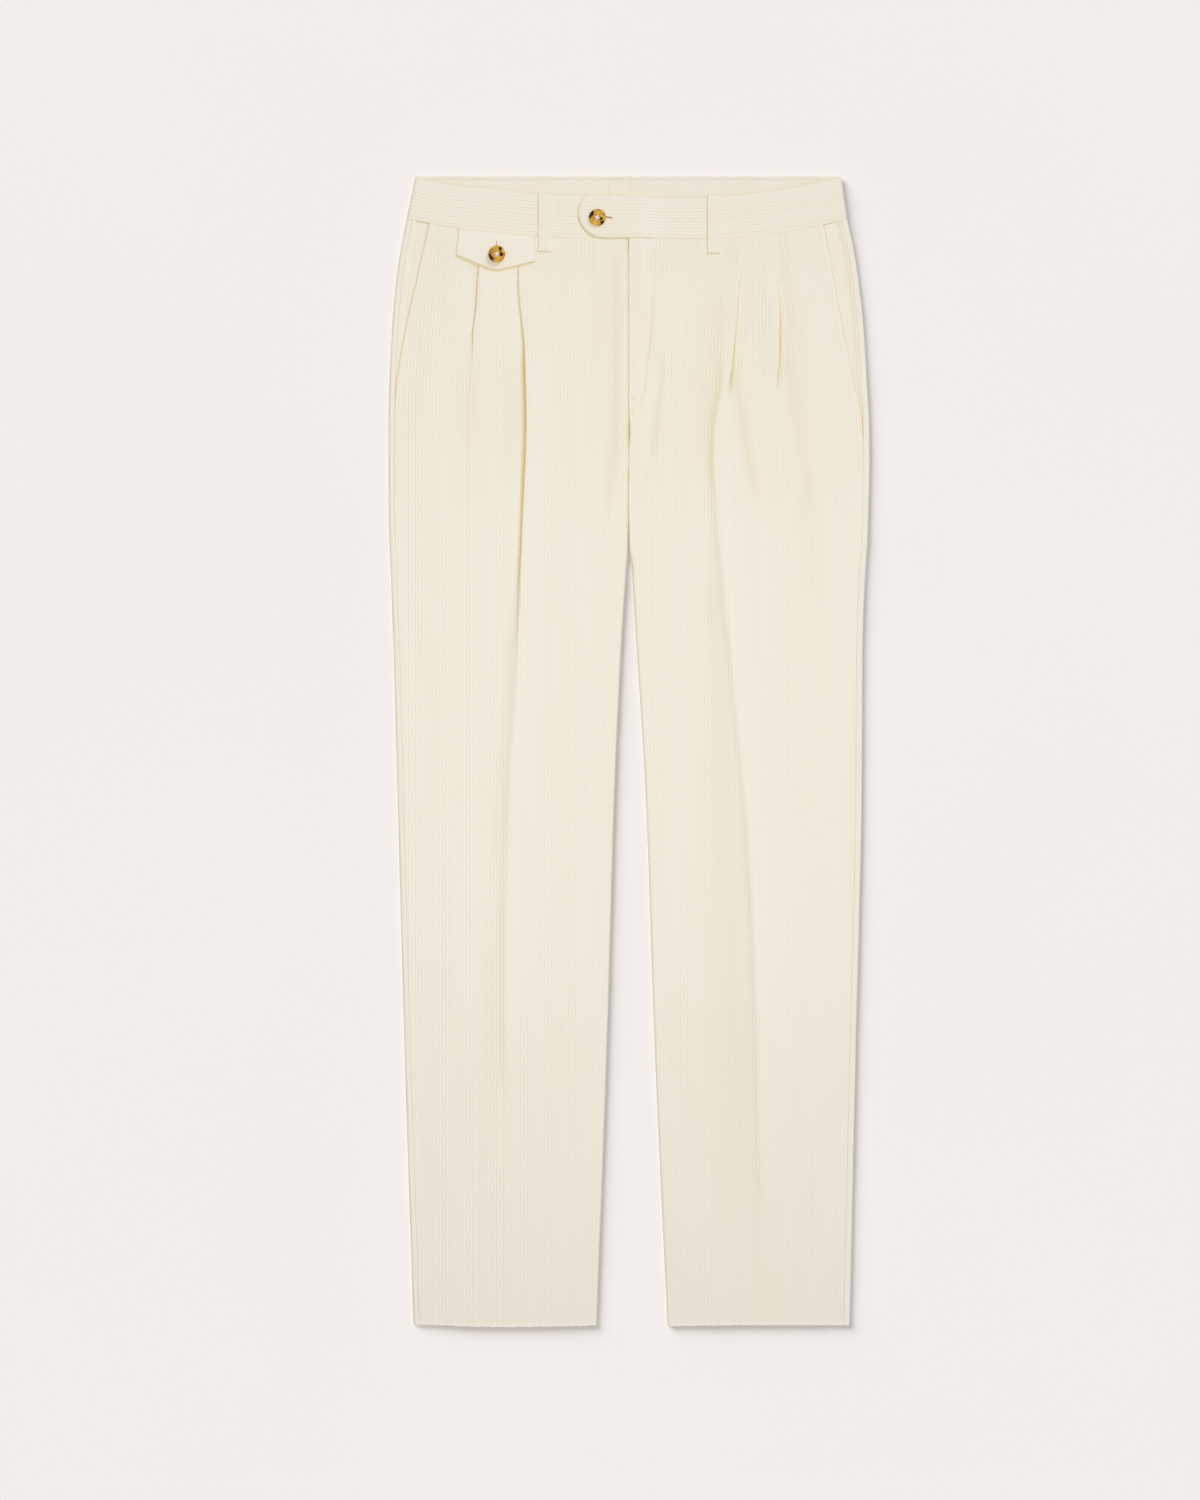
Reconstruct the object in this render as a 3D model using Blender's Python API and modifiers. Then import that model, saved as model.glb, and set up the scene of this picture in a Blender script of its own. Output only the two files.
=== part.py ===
"""Corduroy trousers laid flat on their back: every piece of cloth is a closed wall of its own.

Frame: +X is the wearer's left, +Y runs up to the waist, +Z leaves the surface that they lie on.
The origin lies under the middle of the garment. Sizes are in millimetres until a mesh is made.
"right" and "left" in the names are the wearer's.
"""

import math
from collections import namedtuple

import bmesh
import bpy
import numpy as np

# Driving sizes
MM = 0.001
LENGTH = 1091.0  # hem to the back edge of the waist
CLOTH = 1.3  # corduroy between its wales
FACING = 1.0  # the inner waistband and the pocket facings
BAND = 2.2  # the waistband is sewn double
STRAP = 1.2
SEAM_GAP = 0.35  # between pieces that are sewn together
LAYER_GAP = 0.4  # between layers of one piece, folded in a pleat
WALE_RISE = 0.3
BACK_LEVEL = CLOTH / 2  # middle of the back's wall
FRONT_LEVEL = 4.25  # middle of the front's wall at its seams
PILLOW = 0.8  # how far the front swells between its seams
PILLOW_EDGE = 40.0  # the swell is full this far in from a seam
ROLL = (FRONT_LEVEL - BACK_LEVEL) / 2  # radius of the back's roll at the side seam
SEAM_INSET = 5.5  # the side seam lies this far in from the outline
BAND_HEIGHT = 41.0
BAND_LIFT = 1.4  # the loops behind hold the band off the surface
LIFT_START, LIFT_RUN = 1005.0, 40.0  # where the layers below it start to rise, and over what length
FLY_UNDERLAP = 8.0  # the right front runs on under the left one
FLY_FOOT = 830.0  # height above which it does
FLY_STEP = CLOTH + 0.5  # how much higher the left front lies there
FLY_STEP_FOOT, FLY_STEP_RISE = 780.0, 40.0  # where it starts to rise so far, and over what length
FLY_STEP_RUN = 12.0  # width over which it comes down
FLY_PLAIN = 3.0  # the right front has no wales under it, up to here
BAND_UNDERLAP = FLY_UNDERLAP + 2
BAND_LEVEL = 5.5  # middle of the front band's wall
BAND_ROLL = 1.6  # radius of its roll at the sides
TAB_LEVEL = BAND_LEVEL + BAND + SEAM_GAP  # where the left band lies on the right one
TAB_STEP = (12.0, 32.0)  # distances from the centre line between which the left band comes down again

# The right and left legs: height above the hem, the outline's distance from the centre line, the outer
# edge of the front piece (the pocket's slant above, the side seam below) and the inner edge.
Leg = namedtuple("Leg", "height outline edge inner")
LEGS = {
    "right": [
        Leg(1049, 211.0, 189.5, 0.8),
        Leg(1018, 217.0, 196.0, 0.8),
        Leg(990, 221.0, 202.0, 0.8),
        Leg(958, 224.0, 209.5, 0.8),
        Leg(924, 226.0, 216.0, 0.8),
        Leg(890, 227.6, 221.0, 0.8),
        Leg(856, 228.0, 222.5, 0.8),
        Leg(820, 228.0, 222.5, 0.8),
        Leg(780, 228.0, 222.5, 0.8),
        Leg(742, 227.0, 221.5, 0.9),
        Leg(720, 226.2, 220.7, 2.6),
        Leg(640, 223.2, 217.7, 7.8),
        Leg(500, 219.4, 213.9, 14.2),
        Leg(260, 212.8, 207.3, 21.4),
        Leg(0, 204.4, 198.9, 31.3),
    ],
    "left": [
        Leg(1049, 206.5, 184.0, -0.4),
        Leg(1018, 213.6, 189.5, -0.4),
        Leg(990, 217.6, 194.5, -0.4),
        Leg(958, 221.5, 200.0, -0.4),
        Leg(924, 223.8, 207.0, -0.4),
        Leg(890, 225.8, 214.0, -0.4),
        Leg(856, 227.6, 221.0, -0.4),
        Leg(820, 228.0, 222.5, -0.4),
        Leg(780, 227.0, 221.5, -0.4),
        Leg(742, 226.0, 220.5, 0.3),
        Leg(720, 224.2, 218.7, 2.6),
        Leg(640, 221.3, 215.8, 7.6),
        Leg(500, 220.4, 214.9, 16.1),
        Leg(260, 214.8, 209.3, 24.6),
        Leg(0, 209.0, 203.5, 36.6),
    ],
}
CROTCH = 742.0
INSEAM_TURN_RUN = 40.0  # length below the crotch over which the front's inner edge turns down
INSEAM_BEND = 2.5  # width of cloth in that turn
EDGE_STILL = 15.0  # creases fade out this close to a seam

# Reverse pleats. Each opens down its length: across is where its fold lies, tuck is how far the cloth
# doubles back under it, turn is the angle of the fold and bend the radius of the wall's middle there.
PLEAT_BEND = (CLOTH + LAYER_GAP) / 2
Pleat = namedtuple("Pleat", "height across tuck turn bend")
PLEATS = {
    ("right", "second"): [
        Pleat(1049, 141.5, 9, 180, PLEAT_BEND),
        Pleat(990, 143.5, 6, 180, PLEAT_BEND),
        Pleat(958, 145.5, 2, 180, PLEAT_BEND),
        Pleat(924, 148.5, 0, 120, 1.0),
        Pleat(890, 152.0, 0, 45, 2.6),
        Pleat(856, 154.5, 0, 20, 5.0),
        Pleat(780, 152.0, 0, 8, 14.0),
        Pleat(640, 150.0, 0, 5, 20.0),
        Pleat(0, 148.0, 0, 5, 20.0),
    ],
    ("right", "main"): [
        Pleat(1049, 105.4, 12, 180, PLEAT_BEND),
        Pleat(990, 104.5, 10, 180, PLEAT_BEND),
        Pleat(924, 98.8, 8, 180, PLEAT_BEND),
        Pleat(856, 97.2, 5, 180, PLEAT_BEND),
        Pleat(780, 100.2, 1, 180, PLEAT_BEND),
        Pleat(742, 102.0, 0, 95, 1.15),
        Pleat(720, 103.2, 0, 60, 1.9),
        Pleat(640, 106.5, 0, 30, 4.0),
        Pleat(500, 114.0, 0, 14, 9.0),
        Pleat(260, 118.8, 0, 5, 20.0),
        Pleat(0, 118.8, 0, 5, 20.0),
    ],
    ("left", "second"): [
        Pleat(1049, 138.7, 9, 180, PLEAT_BEND),
        Pleat(990, 141.2, 6, 180, PLEAT_BEND),
        Pleat(958, 144.4, 3, 180, PLEAT_BEND),
        Pleat(924, 143.0, 0, 150, PLEAT_BEND),
        Pleat(890, 141.0, 0, 50, 2.6),
        Pleat(856, 142.0, 0, 18, 6.0),
        Pleat(780, 144.0, 0, 6, 18.0),
        Pleat(0, 148.0, 0, 5, 20.0),
    ],
    ("left", "main"): [
        Pleat(1049, 106.4, 12, 180, PLEAT_BEND),
        Pleat(990, 105.2, 9, 180, PLEAT_BEND),
        Pleat(958, 102.6, 6, 180, PLEAT_BEND),
        Pleat(924, 98.2, 2, 180, PLEAT_BEND),
        Pleat(890, 94.0, 0, 80, 1.6),
        Pleat(856, 92.0, 0, 25, 4.4),
        Pleat(780, 94.0, 0, 8, 14.0),
        Pleat(640, 100.0, 0, 5, 20.0),
        Pleat(0, 112.0, 0, 5, 20.0),
    ],
}
PLEAT_DIP = 0.45  # share of a pleat's rise that its under layer sinks
PLEAT_REACH = 16.0  # how far from the fold it starts to sink
PLEAT_FALL = 22.0  # how far beyond the tuck the upper layer comes down again
SHORTEST_TUCK = 0.4
FOLD_MARGIN = 1.2  # plain cloth on each side of a fold, before the wales start
UNDER_MARGIN = 2.0  # and where the under layer turns into it

# Soft creases: a ridge or trough follows its line down the leg. rise is its greatest height, outer and
# inner are its half-widths on the side seam's and the inseam's side.
Crease = namedtuple("Crease", "side rise outer inner line")
CREASES = [
    Crease("right", 1.2, 4, 15, ((780, 100.0), (640, 106.5), (500, 113.5), (400, 118.0), (260, 118.8))),
    Crease("right", -1.2, 9, 6, ((1000, 6.0), (958, 13.3), (898, 14.2), (834, 16.1), (760, 15.0))),
    Crease("left", 1.3, 14, 4, ((925, 92.0), (844, 80.8), (765, 79.8), (679, 92.1), (500, 106.5), (0, 127.0))),
    Crease("left", -1.2, 8, 8, ((940, 144.0), (907, 148.2), (860, 155.8), (800, 168.0))),
    Crease("left", -0.9, 5, 7, ((930, 33.0), (895, 29.4), (862, 25.6), (820, 20.0))),
]
CREASE_FADE = 60.0

# The waist seam and the front band's upper edge: distance across from the centre line, height.
WAIST_SEAM = ((-211, 1050), (-161, 1041), (-88, 1034), (-49, 1032), (0, 1032), (86, 1032), (134, 1036),
              (181, 1044), (207, 1050))
FRONT_EDGE = ((-203, 1090), (-170, 1084), (-122, 1080), (-96, 1076), (-37, 1074), (86, 1073), (134, 1078),
              (200, 1090))
BACK_SEAM = LENGTH - BAND_HEIGHT
BAND_SIDE = {"right": (211.0, 202.6), "left": (206.5, 200.8)}  # half width at its seam and at its top

# The left band runs on to the right as a tab with a rounded end: width and height of its corners
TAB_END = 49.4
TAB_LOWER_CORNER = (22.0, 20.0)
TAB_UPPER_CORNER = (14.0, 17.0)

# The watch pocket's flap: its lower edge as (across, height), and its thickness
FLAP_EDGE = ((-164.2, 1016.0), (-128.2, 1001.0), (-88.5, 1011.0))
FLAP_TOP = (-161.5, -89.3)
FLAP = 1.6

# Belt loops
LOOP_WIDTH = 12.0
LOOP_WALES = 4
FRONT_LOOPS = {"right": 80.3, "left": 80.2}
BACK_LOOPS = {"right": -118.0, "centre": 0.0, "left": 118.0}
BACK_LOOP = 1.0
LOOP_FOOT = 14.0  # how far a loop reaches below the waist seam
LOOP_BOW = 1.2
LOOP_BEND = 1.5  # radius where its hook turns over the band's edge

# Buttons: places as (across, height), and the turned profile from the middle of the face down its rim
BUTTONS = {"waist": (-30.4, 1052.0), "watch_pocket": (-125.4, 1017.0)}
BUTTON_PROFILE = ((0.0, 2.1), (4.4, 2.15), (5.3, 2.6), (6.4, 3.0), (7.3, 2.8), (8.0, 2.0), (8.0, 1.2),
                  (7.3, 0.4), (6.4, 0.0), (0.0, 0.0))
BUTTON_SIDES = 24
BUTTON_HOLE = 0.8
BUTTON_HOLE_OFFSET = 1.5

# Pocket facings: how far they reach in under the slanted edge, how far they sink on their way there, and
# their rows of heights
FACING_UNDER = 14.0
FACING_SINK = 1.6
FACING_ROWS = {
    "right": (1049, 1018, 990, 958, 926, 910, 900, 872),
    "left": (1049, 1018, 990, 958, 924, 886, 870, 860, 842),
}
FACING_TUCK = (3.3, 2.1)  # widths of the opening where the facing starts to lie lower, and lies wholly low

# How finely each wall is laid out
ROWS = (1049, 1018, 990, 958, 924, 890, 856, 820, 780, 742, 720, 640, 500, 260, 0)
SEAM_BEND_START = 958.0  # height above which the rows bend towards the waist seam
BACK_STEPS = 6
ROLL_STEPS = 8
ZONE_WALES = {"side": 19, "between": 13, "centre": 32}
FOLD_STEPS = 4
END_STEPS = 4
BAND_WALES = 13
BAND_STATIONS = 12
INNER_STRIDE = 8

COLOURS = {
    "corduroy": (0.86, 0.79, 0.66, 1.0),
    "twill": (0.84, 0.78, 0.67, 1.0),
    "horn": (0.16, 0.075, 0.035, 1.0),
}


def ease(x):
    """0 below 0, 1 above 1, smooth between."""
    x = np.clip(x, 0.0, 1.0)
    return x * x * (3 - 2 * x)


def read(table, column, height):
    """A column of a table of rows that run down the leg, at any height."""
    heights = [row.height for row in reversed(table)]
    values = [getattr(row, column) for row in reversed(table)]
    return float(np.interp(height, heights, values))


def curve(points, across):
    """The height of a curve of (across, height) points, rounded between them."""
    xs, ys = np.array(points, float).T
    slopes = np.gradient(ys, xs)
    across = np.clip(across, xs[0], xs[-1])
    i = np.clip(np.searchsorted(xs, across) - 1, 0, len(xs) - 2)
    step = xs[i + 1] - xs[i]
    t = (across - xs[i]) / step
    return (
        ys[i] * (1 + 2 * t) * (1 - t) ** 2
        + slopes[i] * step * t * (1 - t) ** 2
        + ys[i + 1] * t * t * (3 - 2 * t)
        + slopes[i + 1] * step * t * t * (t - 1)
    )


def relief(side, across, height):
    """The height that the soft creases of one leg add at a place."""
    total = np.zeros_like(across)
    for crease in CREASES:
        if crease.side != side:
            continue
        heights, places = np.array(crease.line, float)[::-1].T
        if not heights[0] <= height <= heights[-1]:
            continue
        ends = ease((height - heights[0]) / CREASE_FADE) * ease((heights[-1] - height) / CREASE_FADE)
        if heights[0] <= 0:
            ends = ease((heights[-1] - height) / CREASE_FADE)
        offset = across - np.interp(height, heights, places)
        width = np.where(offset > 0, crease.outer, crease.inner)
        total += crease.rise * ends * np.exp(-((offset / width) ** 2))
    return total


def lift(height):
    """How far all layers rise towards the waistband, which the loops behind hold off the surface."""
    return BAND_LIFT * float(ease((height - LIFT_START) / LIFT_RUN))


def pillow(depth, width):
    """The swell of the front between its two edges, at a depth in from the side."""
    return PILLOW * ease(depth / PILLOW_EDGE) * ease((width - depth) / PILLOW_EDGE)


def fold(row, side_edge, under_level):
    """The S of one pleat, as (depth, level) points of the wall's middle, from its under layer to its upper."""
    turn = math.radians(row.turn)
    place = side_edge - row.across
    bend = row.bend
    start = place - bend * math.sin(turn) - row.tuck * math.cos(turn)
    if row.turn > 90:
        start += bend * (1 - math.sin(turn))
    angles = np.linspace(0.0, turn, FOLD_STEPS + 1)
    under = np.stack([start + bend * np.sin(angles), under_level + bend * (1 - np.cos(angles))], 1)
    between = max(row.tuck, SHORTEST_TUCK) * np.array([math.cos(turn), math.sin(turn)])
    back = angles[::-1]
    over = bend * np.stack([math.sin(turn) - np.sin(back), np.cos(back) - math.cos(turn)], 1)
    return np.concatenate([under, under[-1] + between + over])


def pleat_row(key, height):
    values = [read(PLEATS[key], name, height) for name in Pleat._fields[1:]]
    return Pleat(height, *values)


def inseam_turn(height, width):
    """The front's inner edge below the crotch: it turns down onto the back.

    Gives where it starts, and the (depth, level) steps from there."""
    curl = math.radians(90) * float(ease((CROTCH - height) / INSEAM_TURN_RUN))
    if curl < 1e-3:
        steps = [(INSEAM_BEND * i / END_STEPS, 0.0) for i in range(1, END_STEPS + 1)]
        steps.append((steps[-1][0] + SHORTEST_TUCK, 0.0))
        return width - steps[-1][0], steps
    radius = INSEAM_BEND / curl
    steps = []
    for i in range(1, END_STEPS + 1):
        angle = curl * i / END_STEPS
        steps.append((radius * math.sin(angle), -radius * (1 - math.cos(angle))))
    clear = FRONT_LEVEL - CLOTH - SEAM_GAP - 0.05
    tail = (clear + steps[-1][1]) * math.sin(curl) + SHORTEST_TUCK * math.cos(curl)
    steps.append((steps[-1][0] + tail * math.cos(curl), steps[-1][1] - tail * math.sin(curl)))
    return width - steps[-1][0] - CLOTH / 2 * math.sin(curl), steps


def front_section(side, height):
    """One row of a front: points across its wall's middle from the side to the centre.

    Gives distances from the centre line, levels, and how far each point's wale stands."""
    edge = read(LEGS[side], "edge", height)
    under_fly = side == "right" and height > FLY_FOOT
    inner = -FLY_UNDERLAP if under_fly else read(LEGS[side], "inner", height)
    width = edge - inner
    end, end_steps = inseam_turn(height, width)
    depth, level, wale = [], [], []

    def flat(first, last, wales, heights):
        places = np.linspace(first, last, 2 * wales + 1)
        depth.extend(places)
        level.extend(heights(places))
        wale.extend([WALE_RISE * (i % 2) for i in range(2 * wales + 1)])

    start, carried_from, carried = 0.0, 0.0, 0.0
    for zone, name in (("side", "second"), ("between", "main")):
        row = pleat_row((side, name), height)
        place = edge - row.across
        shape = fold(row, edge, 0.0)
        dip = PLEAT_DIP * shape[-1][1]

        def heights(d, carried_from=carried_from, carried=carried, place=place, dip=dip):
            fallen = ease((d - carried_from) / PLEAT_FALL)
            sunk = ease((d - place + PLEAT_REACH) / PLEAT_REACH)
            return FRONT_LEVEL + carried * (1 - fallen) - dip * sunk

        under_level = float(heights(place + PLEAT_FALL))
        flat(start, min(place - FOLD_MARGIN, shape[0][0] - UNDER_MARGIN), ZONE_WALES[zone], heights)
        if row.turn > 90:
            level[-1] = under_level
        depth.extend(shape[:, 0])
        level.extend(under_level + shape[:, 1])
        wale.extend([0.0] * len(shape))
        carried = level[-1] - FRONT_LEVEL
        carried_from = max(shape[0][0] + row.bend + 1.5, shape[-1][0])
        start = shape[-1][0] + FOLD_MARGIN
    flat(start, end, ZONE_WALES["centre"],
         lambda d: FRONT_LEVEL + carried * (1 - ease((d - carried_from) / PLEAT_FALL)))
    last = level[-1]
    for step, drop in end_steps:
        depth.append(end + step)
        level.append(last + drop)
        wale.append(0.0)

    depth, level, wale = np.array(depth), np.array(level), np.array(wale)
    across = edge - depth
    loose = ease(depth / EDGE_STILL) * ease((width - depth) / EDGE_STILL)
    level = level + pillow(depth, width) + relief(side, across, height) * loose + lift(height)
    if side == "left" and height > CROTCH:
        step = FLY_STEP * float(ease((height - FLY_STEP_FOOT) / FLY_STEP_RISE))
        level = level + step * (1 - ease((across - BAND_UNDERLAP) / FLY_STEP_RUN))
    if under_fly:
        wale = np.where(across < FLY_PLAIN, 0.0, wale)
    return across, level, wale


def front_top(side, across, height):
    """The level of the uppermost face of a front at a place."""
    places, levels, _ = front_section(side, height)
    best = -math.inf
    for i in range(len(places) - 1):
        low, high = sorted((places[i], places[i + 1]))
        if low <= across <= high:
            share = (across - places[i]) / (places[i + 1] - places[i] or 1.0)
            best = max(best, levels[i] + share * (levels[i + 1] - levels[i]))
    return best + CLOTH / 2 + WALE_RISE


def normals(places, levels):
    """Unit normals of a section, on the side that faces out of the garment."""
    run, climb = np.gradient(places), np.gradient(levels)
    size = np.hypot(run, climb)
    return -climb / size, run / size


def new_object(name, bm, material):
    bmesh.ops.recalc_face_normals(bm, faces=bm.faces)
    mesh = bpy.data.meshes.new(name)
    bm.to_mesh(mesh)
    bm.free()
    mesh.shade_smooth()
    mesh.set_sharp_from_angle(angle=math.radians(40))
    mesh.materials.append(material)
    thing = bpy.data.objects.new(name, mesh)
    bpy.data.collections["corduroy_trousers"].objects.link(thing)
    return thing


def sheet(bm, points):
    """One face of a wall: a grid whose vertices take the given places."""
    rows, columns = points.shape[:2]
    made = bmesh.ops.create_grid(bm, x_segments=columns - 1, y_segments=rows - 1, size=1.0)
    for vert, place in zip(made["verts"], points.reshape(-1, 3)):
        vert.co = (place[0] * MM, place[1] * MM, place[2] * MM)
    return [made["verts"][i * columns:(i + 1) * columns] for i in range(rows)]


def wall(name, outer, inner, keys, material):
    """A closed wall between an outer face and an inner face that has only the key columns."""
    bm = bmesh.new()
    out, into = sheet(bm, outer), sheet(bm, inner)
    for a, b in zip(range(len(out)), range(1, len(out))):
        bm.faces.new((out[a][0], out[b][0], into[b][0], into[a][0]))
        bm.faces.new((out[a][-1], into[a][-1], into[b][-1], out[b][-1]))
    for row_out, row_in in ((out[0], into[0]), (out[-1], into[-1])):
        for i, (first, last) in enumerate(zip(keys, keys[1:])):
            bm.faces.new([*row_out[first:last + 1], row_in[i + 1], row_in[i]])
    return new_object(name, bm, material)


def inner_keys(columns, fixed):
    """The columns that a plain inner face keeps: those that are fixed, and a few between them."""
    keys = sorted({0, columns - 1, *fixed})
    filled = []
    for first, last in zip(keys, keys[1:]):
        pieces = max(1, round((last - first) / INNER_STRIDE))
        filled += [first + round((last - first) * i / pieces) for i in range(pieces)]
    return [*filled, columns - 1]


def place_y(height):
    return height - LENGTH / 2


def seam_y(sign, across, height):
    """Where a row of the front lies: the rows bend upwards until the top one follows the waist seam."""
    share = ease((height - SEAM_BEND_START) / (ROWS[0] - SEAM_BEND_START))
    return place_y(height + (curve(WAIST_SEAM, sign * across) - SEAM_GAP - ROWS[0]) * share)


def front(side, material):
    """A front leg: pleated at the waist, wales upright, turned down at the inseam."""
    sign = -1 if side == "right" else 1
    outer, inner = [], []
    for height in ROWS:
        across, level, wale = front_section(side, height)
        nx, nz = normals(-across, level)
        y = seam_y(sign, across, height)
        for face, offset in ((outer, CLOTH / 2 + wale), (inner, -CLOTH / 2 + 0 * wale)):
            face.append(np.stack([sign * (across - nx * offset), y, level + nz * offset], 1))
    columns = len(outer[0])
    fold_points = 2 * (FOLD_STEPS + 1)
    second = 2 * ZONE_WALES["side"] + 1
    main_fold = second + fold_points + 2 * ZONE_WALES["between"] + 1
    fixed = [*range(second - 1, second + fold_points + 1), *range(main_fold - 1, main_fold + fold_points + 1),
             *range(columns - END_STEPS - 2, columns)]
    keys = inner_keys(columns, fixed)
    return wall(f"front_{side}", np.array(outer), np.array(inner)[:, keys], keys, material)


def back(side, material):
    """A back leg: flat on the surface, rolled up at the side to the side seam on the front."""
    sign = -1 if side == "right" else 1
    outer, inner = [], []
    for height in ROWS:
        outline = read(LEGS[side], "outline", height)
        roll_at = outline - CLOTH / 2 - ROLL
        across = list(np.linspace(read(LEGS[side], "inner", height), roll_at, BACK_STEPS + 1))
        level = [BACK_LEVEL] * len(across)
        for i in range(1, ROLL_STEPS + 1):
            angle = math.pi * i / ROLL_STEPS
            across.append(roll_at + ROLL * math.sin(angle))
            level.append(BACK_LEVEL + ROLL * (1 - math.cos(angle)))
        seam = outline - SEAM_INSET + SEAM_GAP
        for share in (0.5, 1.0):
            across.append(roll_at + (seam - roll_at) * share)
            level.append(FRONT_LEVEL)
        across, level = np.array(across), np.array(level)
        upper = np.clip((level - BACK_LEVEL) / (2 * ROLL), 0.0, 1.0)
        y = np.full_like(across, place_y(height))
        if height == ROWS[0]:
            y = place_y(BACK_SEAM + (curve(WAIST_SEAM, sign * across) - BACK_SEAM) * upper - SEAM_GAP)
        nx, nz = normals(across, level)
        steps = np.arange(len(across)) - BACK_STEPS - 2
        wale = np.where(steps >= 0, WALE_RISE * (steps % 2), 0.0)
        for face, offset in ((outer, CLOTH / 2 + wale), (inner, -CLOTH / 2 + 0 * wale)):
            face.append(np.stack([sign * (across - nx * offset), y, level - nz * offset + lift(height)], 1))
    keys = list(range(len(outer[0])))
    return wall(f"back_{side}", np.array(outer), np.array(inner), keys, material)


def pocket_facing(side, material):
    """The cloth behind a slanted pocket opening, from the side seam to under the front's edge."""
    sign = -1 if side == "right" else 1
    outer, inner = [], []
    for height in FACING_ROWS[side]:
        seam = read(LEGS[side], "outline", height) - SEAM_INSET
        edge = read(LEGS[side], "edge", height)
        opening = seam - edge
        sink_width = min(6.0, max(2.5, opening - 0.8))
        across = np.array([seam, seam - sink_width / 3, seam - sink_width * 2 / 3, seam - sink_width,
                           min(edge, seam - sink_width - 0.3), edge - FACING_UNDER])
        tucked = ease((FACING_TUCK[0] - opening) / (FACING_TUCK[0] - FACING_TUCK[1]))
        sunk = np.maximum(ease((seam - across) / sink_width), tucked)
        level = FRONT_LEVEL - FACING_SINK * sunk + lift(height)
        y = seam_y(sign, across, height)
        outer.append(np.stack([sign * across, y, level + FACING / 2], 1))
        inner.append(np.stack([sign * across, y, level - FACING / 2], 1))
    keys = list(range(len(outer[0])))
    return wall(f"pocket_facing_{side}", np.array(outer), np.array(inner), keys, material)


def tab_inset(rise):
    """How far the rounded end of the tab stands back at a rise above the waist seam."""
    lower_width, lower_height = TAB_LOWER_CORNER
    upper_width, upper_height = TAB_UPPER_CORNER
    low = np.clip(1 - rise / lower_height, 0, 1)
    high = np.clip(1 - (BAND_HEIGHT - rise) / upper_height, 0, 1)
    return lower_width * (1 - np.sqrt(1 - low**2)) + upper_width * (1 - np.sqrt(1 - high**2))


def band_front(side, material):
    """Half of the front waistband: it rolls down at the side, and its wales run along it."""
    sign = -1 if side == "right" else 1
    lines = 2 * BAND_WALES + 1
    share = np.linspace(0.0, 1.0, lines)
    half = BAND / 2
    low_side, high_side = BAND_SIDE[side]
    edge = low_side + (high_side - low_side) * share
    square_end = -BAND_UNDERLAP if side == "right" else -TAB_END
    end = square_end + (0.0 * share if side == "right" else tab_inset(share * BAND_HEIGHT))
    across, drops = [edge - half], [BAND_LIFT + CLOTH + SEAM_GAP - BAND_LEVEL]
    for i in range(END_STEPS + 1):
        angle = math.pi / 2 * (1 - i / END_STEPS)
        across.append(edge - half - BAND_ROLL * (1 - math.sin(angle)))
        drops.append(-BAND_ROLL * (1 - math.cos(angle)))
    rolled = across[-1]
    for i in range(1, BAND_STATIONS + 1):
        along = i / BAND_STATIONS
        across.append(rolled + (square_end - rolled) * along + (end - square_end) * ease(4 * along - 3))
        drops.append(0.0)
    across = np.array(across)
    level = BAND_LEVEL + np.array(drops)[:, None] + 0 * across
    if side == "left":
        fallen = ease((across - TAB_STEP[0]) / (TAB_STEP[1] - TAB_STEP[0]))
        level = level + (TAB_LEVEL - BAND_LEVEL) * (1 - fallen)
    nx, nz = np.zeros_like(across), np.ones_like(across)
    for line in range(lines):
        nx[:, line], nz[:, line] = normals(-across[:, line], level[:, line])
    x = sign * across
    seam, top = curve(WAIST_SEAM, x), curve(FRONT_EDGE, x)
    y = place_y(seam + (top - seam) * share)
    wale = WALE_RISE * (np.arange(lines) % 2) + 0 * across
    if side == "right":
        wale[across < TAB_END + 4] = 0.0
    outer, inner = (
        np.stack([sign * (across - nx * offset), y, level + nz * offset], 2)
        for offset in (half + wale, -half + 0 * wale)
    )
    keys = [0, lines - 1]
    return wall(f"waistband_front_{side}", outer, inner[:, keys], keys, material)


def band_back(material, twill):
    """The back waistband and the plain facing inside it, which shows above the front."""
    half_low, half_high = BAND_SIDE["right"]
    left_low, left_high = BAND_SIDE["left"]
    for name, inset, low, high, bottom, thick, finish in (
        ("waistband_back", 0.0, BACK_SEAM, LENGTH, BAND_LIFT, CLOTH, material),
        ("waistband_facing", BAND + 0.5, BACK_SEAM + 2, LENGTH - 1.5, BAND_LIFT + CLOTH + SEAM_GAP, FACING,
         twill),
    ):
        outer, inner = [], []
        for height in np.linspace(low, high, 3):
            share = (height - BACK_SEAM) / BAND_HEIGHT
            right = -(half_low + (half_high - half_low) * share) + inset
            left = left_low + (left_high - left_low) * share - inset
            x = np.linspace(right, left, 9)
            y = np.full_like(x, place_y(height))
            outer.append(np.stack([x, y, np.full_like(x, bottom + thick)], 1))
            inner.append(np.stack([x, y, np.full_like(x, bottom)], 1))
        wall(name, np.array(outer), np.array(inner), list(range(9)), finish)


def strap(name, middle, path, thick, wales, rise, material):
    """A strap across the band: path gives (height, level) of its wall's middle."""
    heights, levels = np.array(path, float).T
    ny, nz = normals(-heights, levels)
    columns = 2 * wales + 1
    places = middle + LOOP_WIDTH * (np.arange(columns) / (columns - 1) - 0.5)
    wale = rise * (np.arange(columns) % 2)
    outer, inner = [], []
    for height, level, a, b in zip(heights, levels, ny, nz):
        out, into = thick / 2 + wale, -thick / 2 + 0 * wale
        outer.append(np.stack([places, place_y(height - a * out), level + b * out], 1))
        inner.append(np.stack([places, place_y(height - a * into), level + b * into], 1))
    keys = [0, columns - 1]
    return wall(name, np.array(outer), np.array(inner)[:, keys], keys, material)


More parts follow.
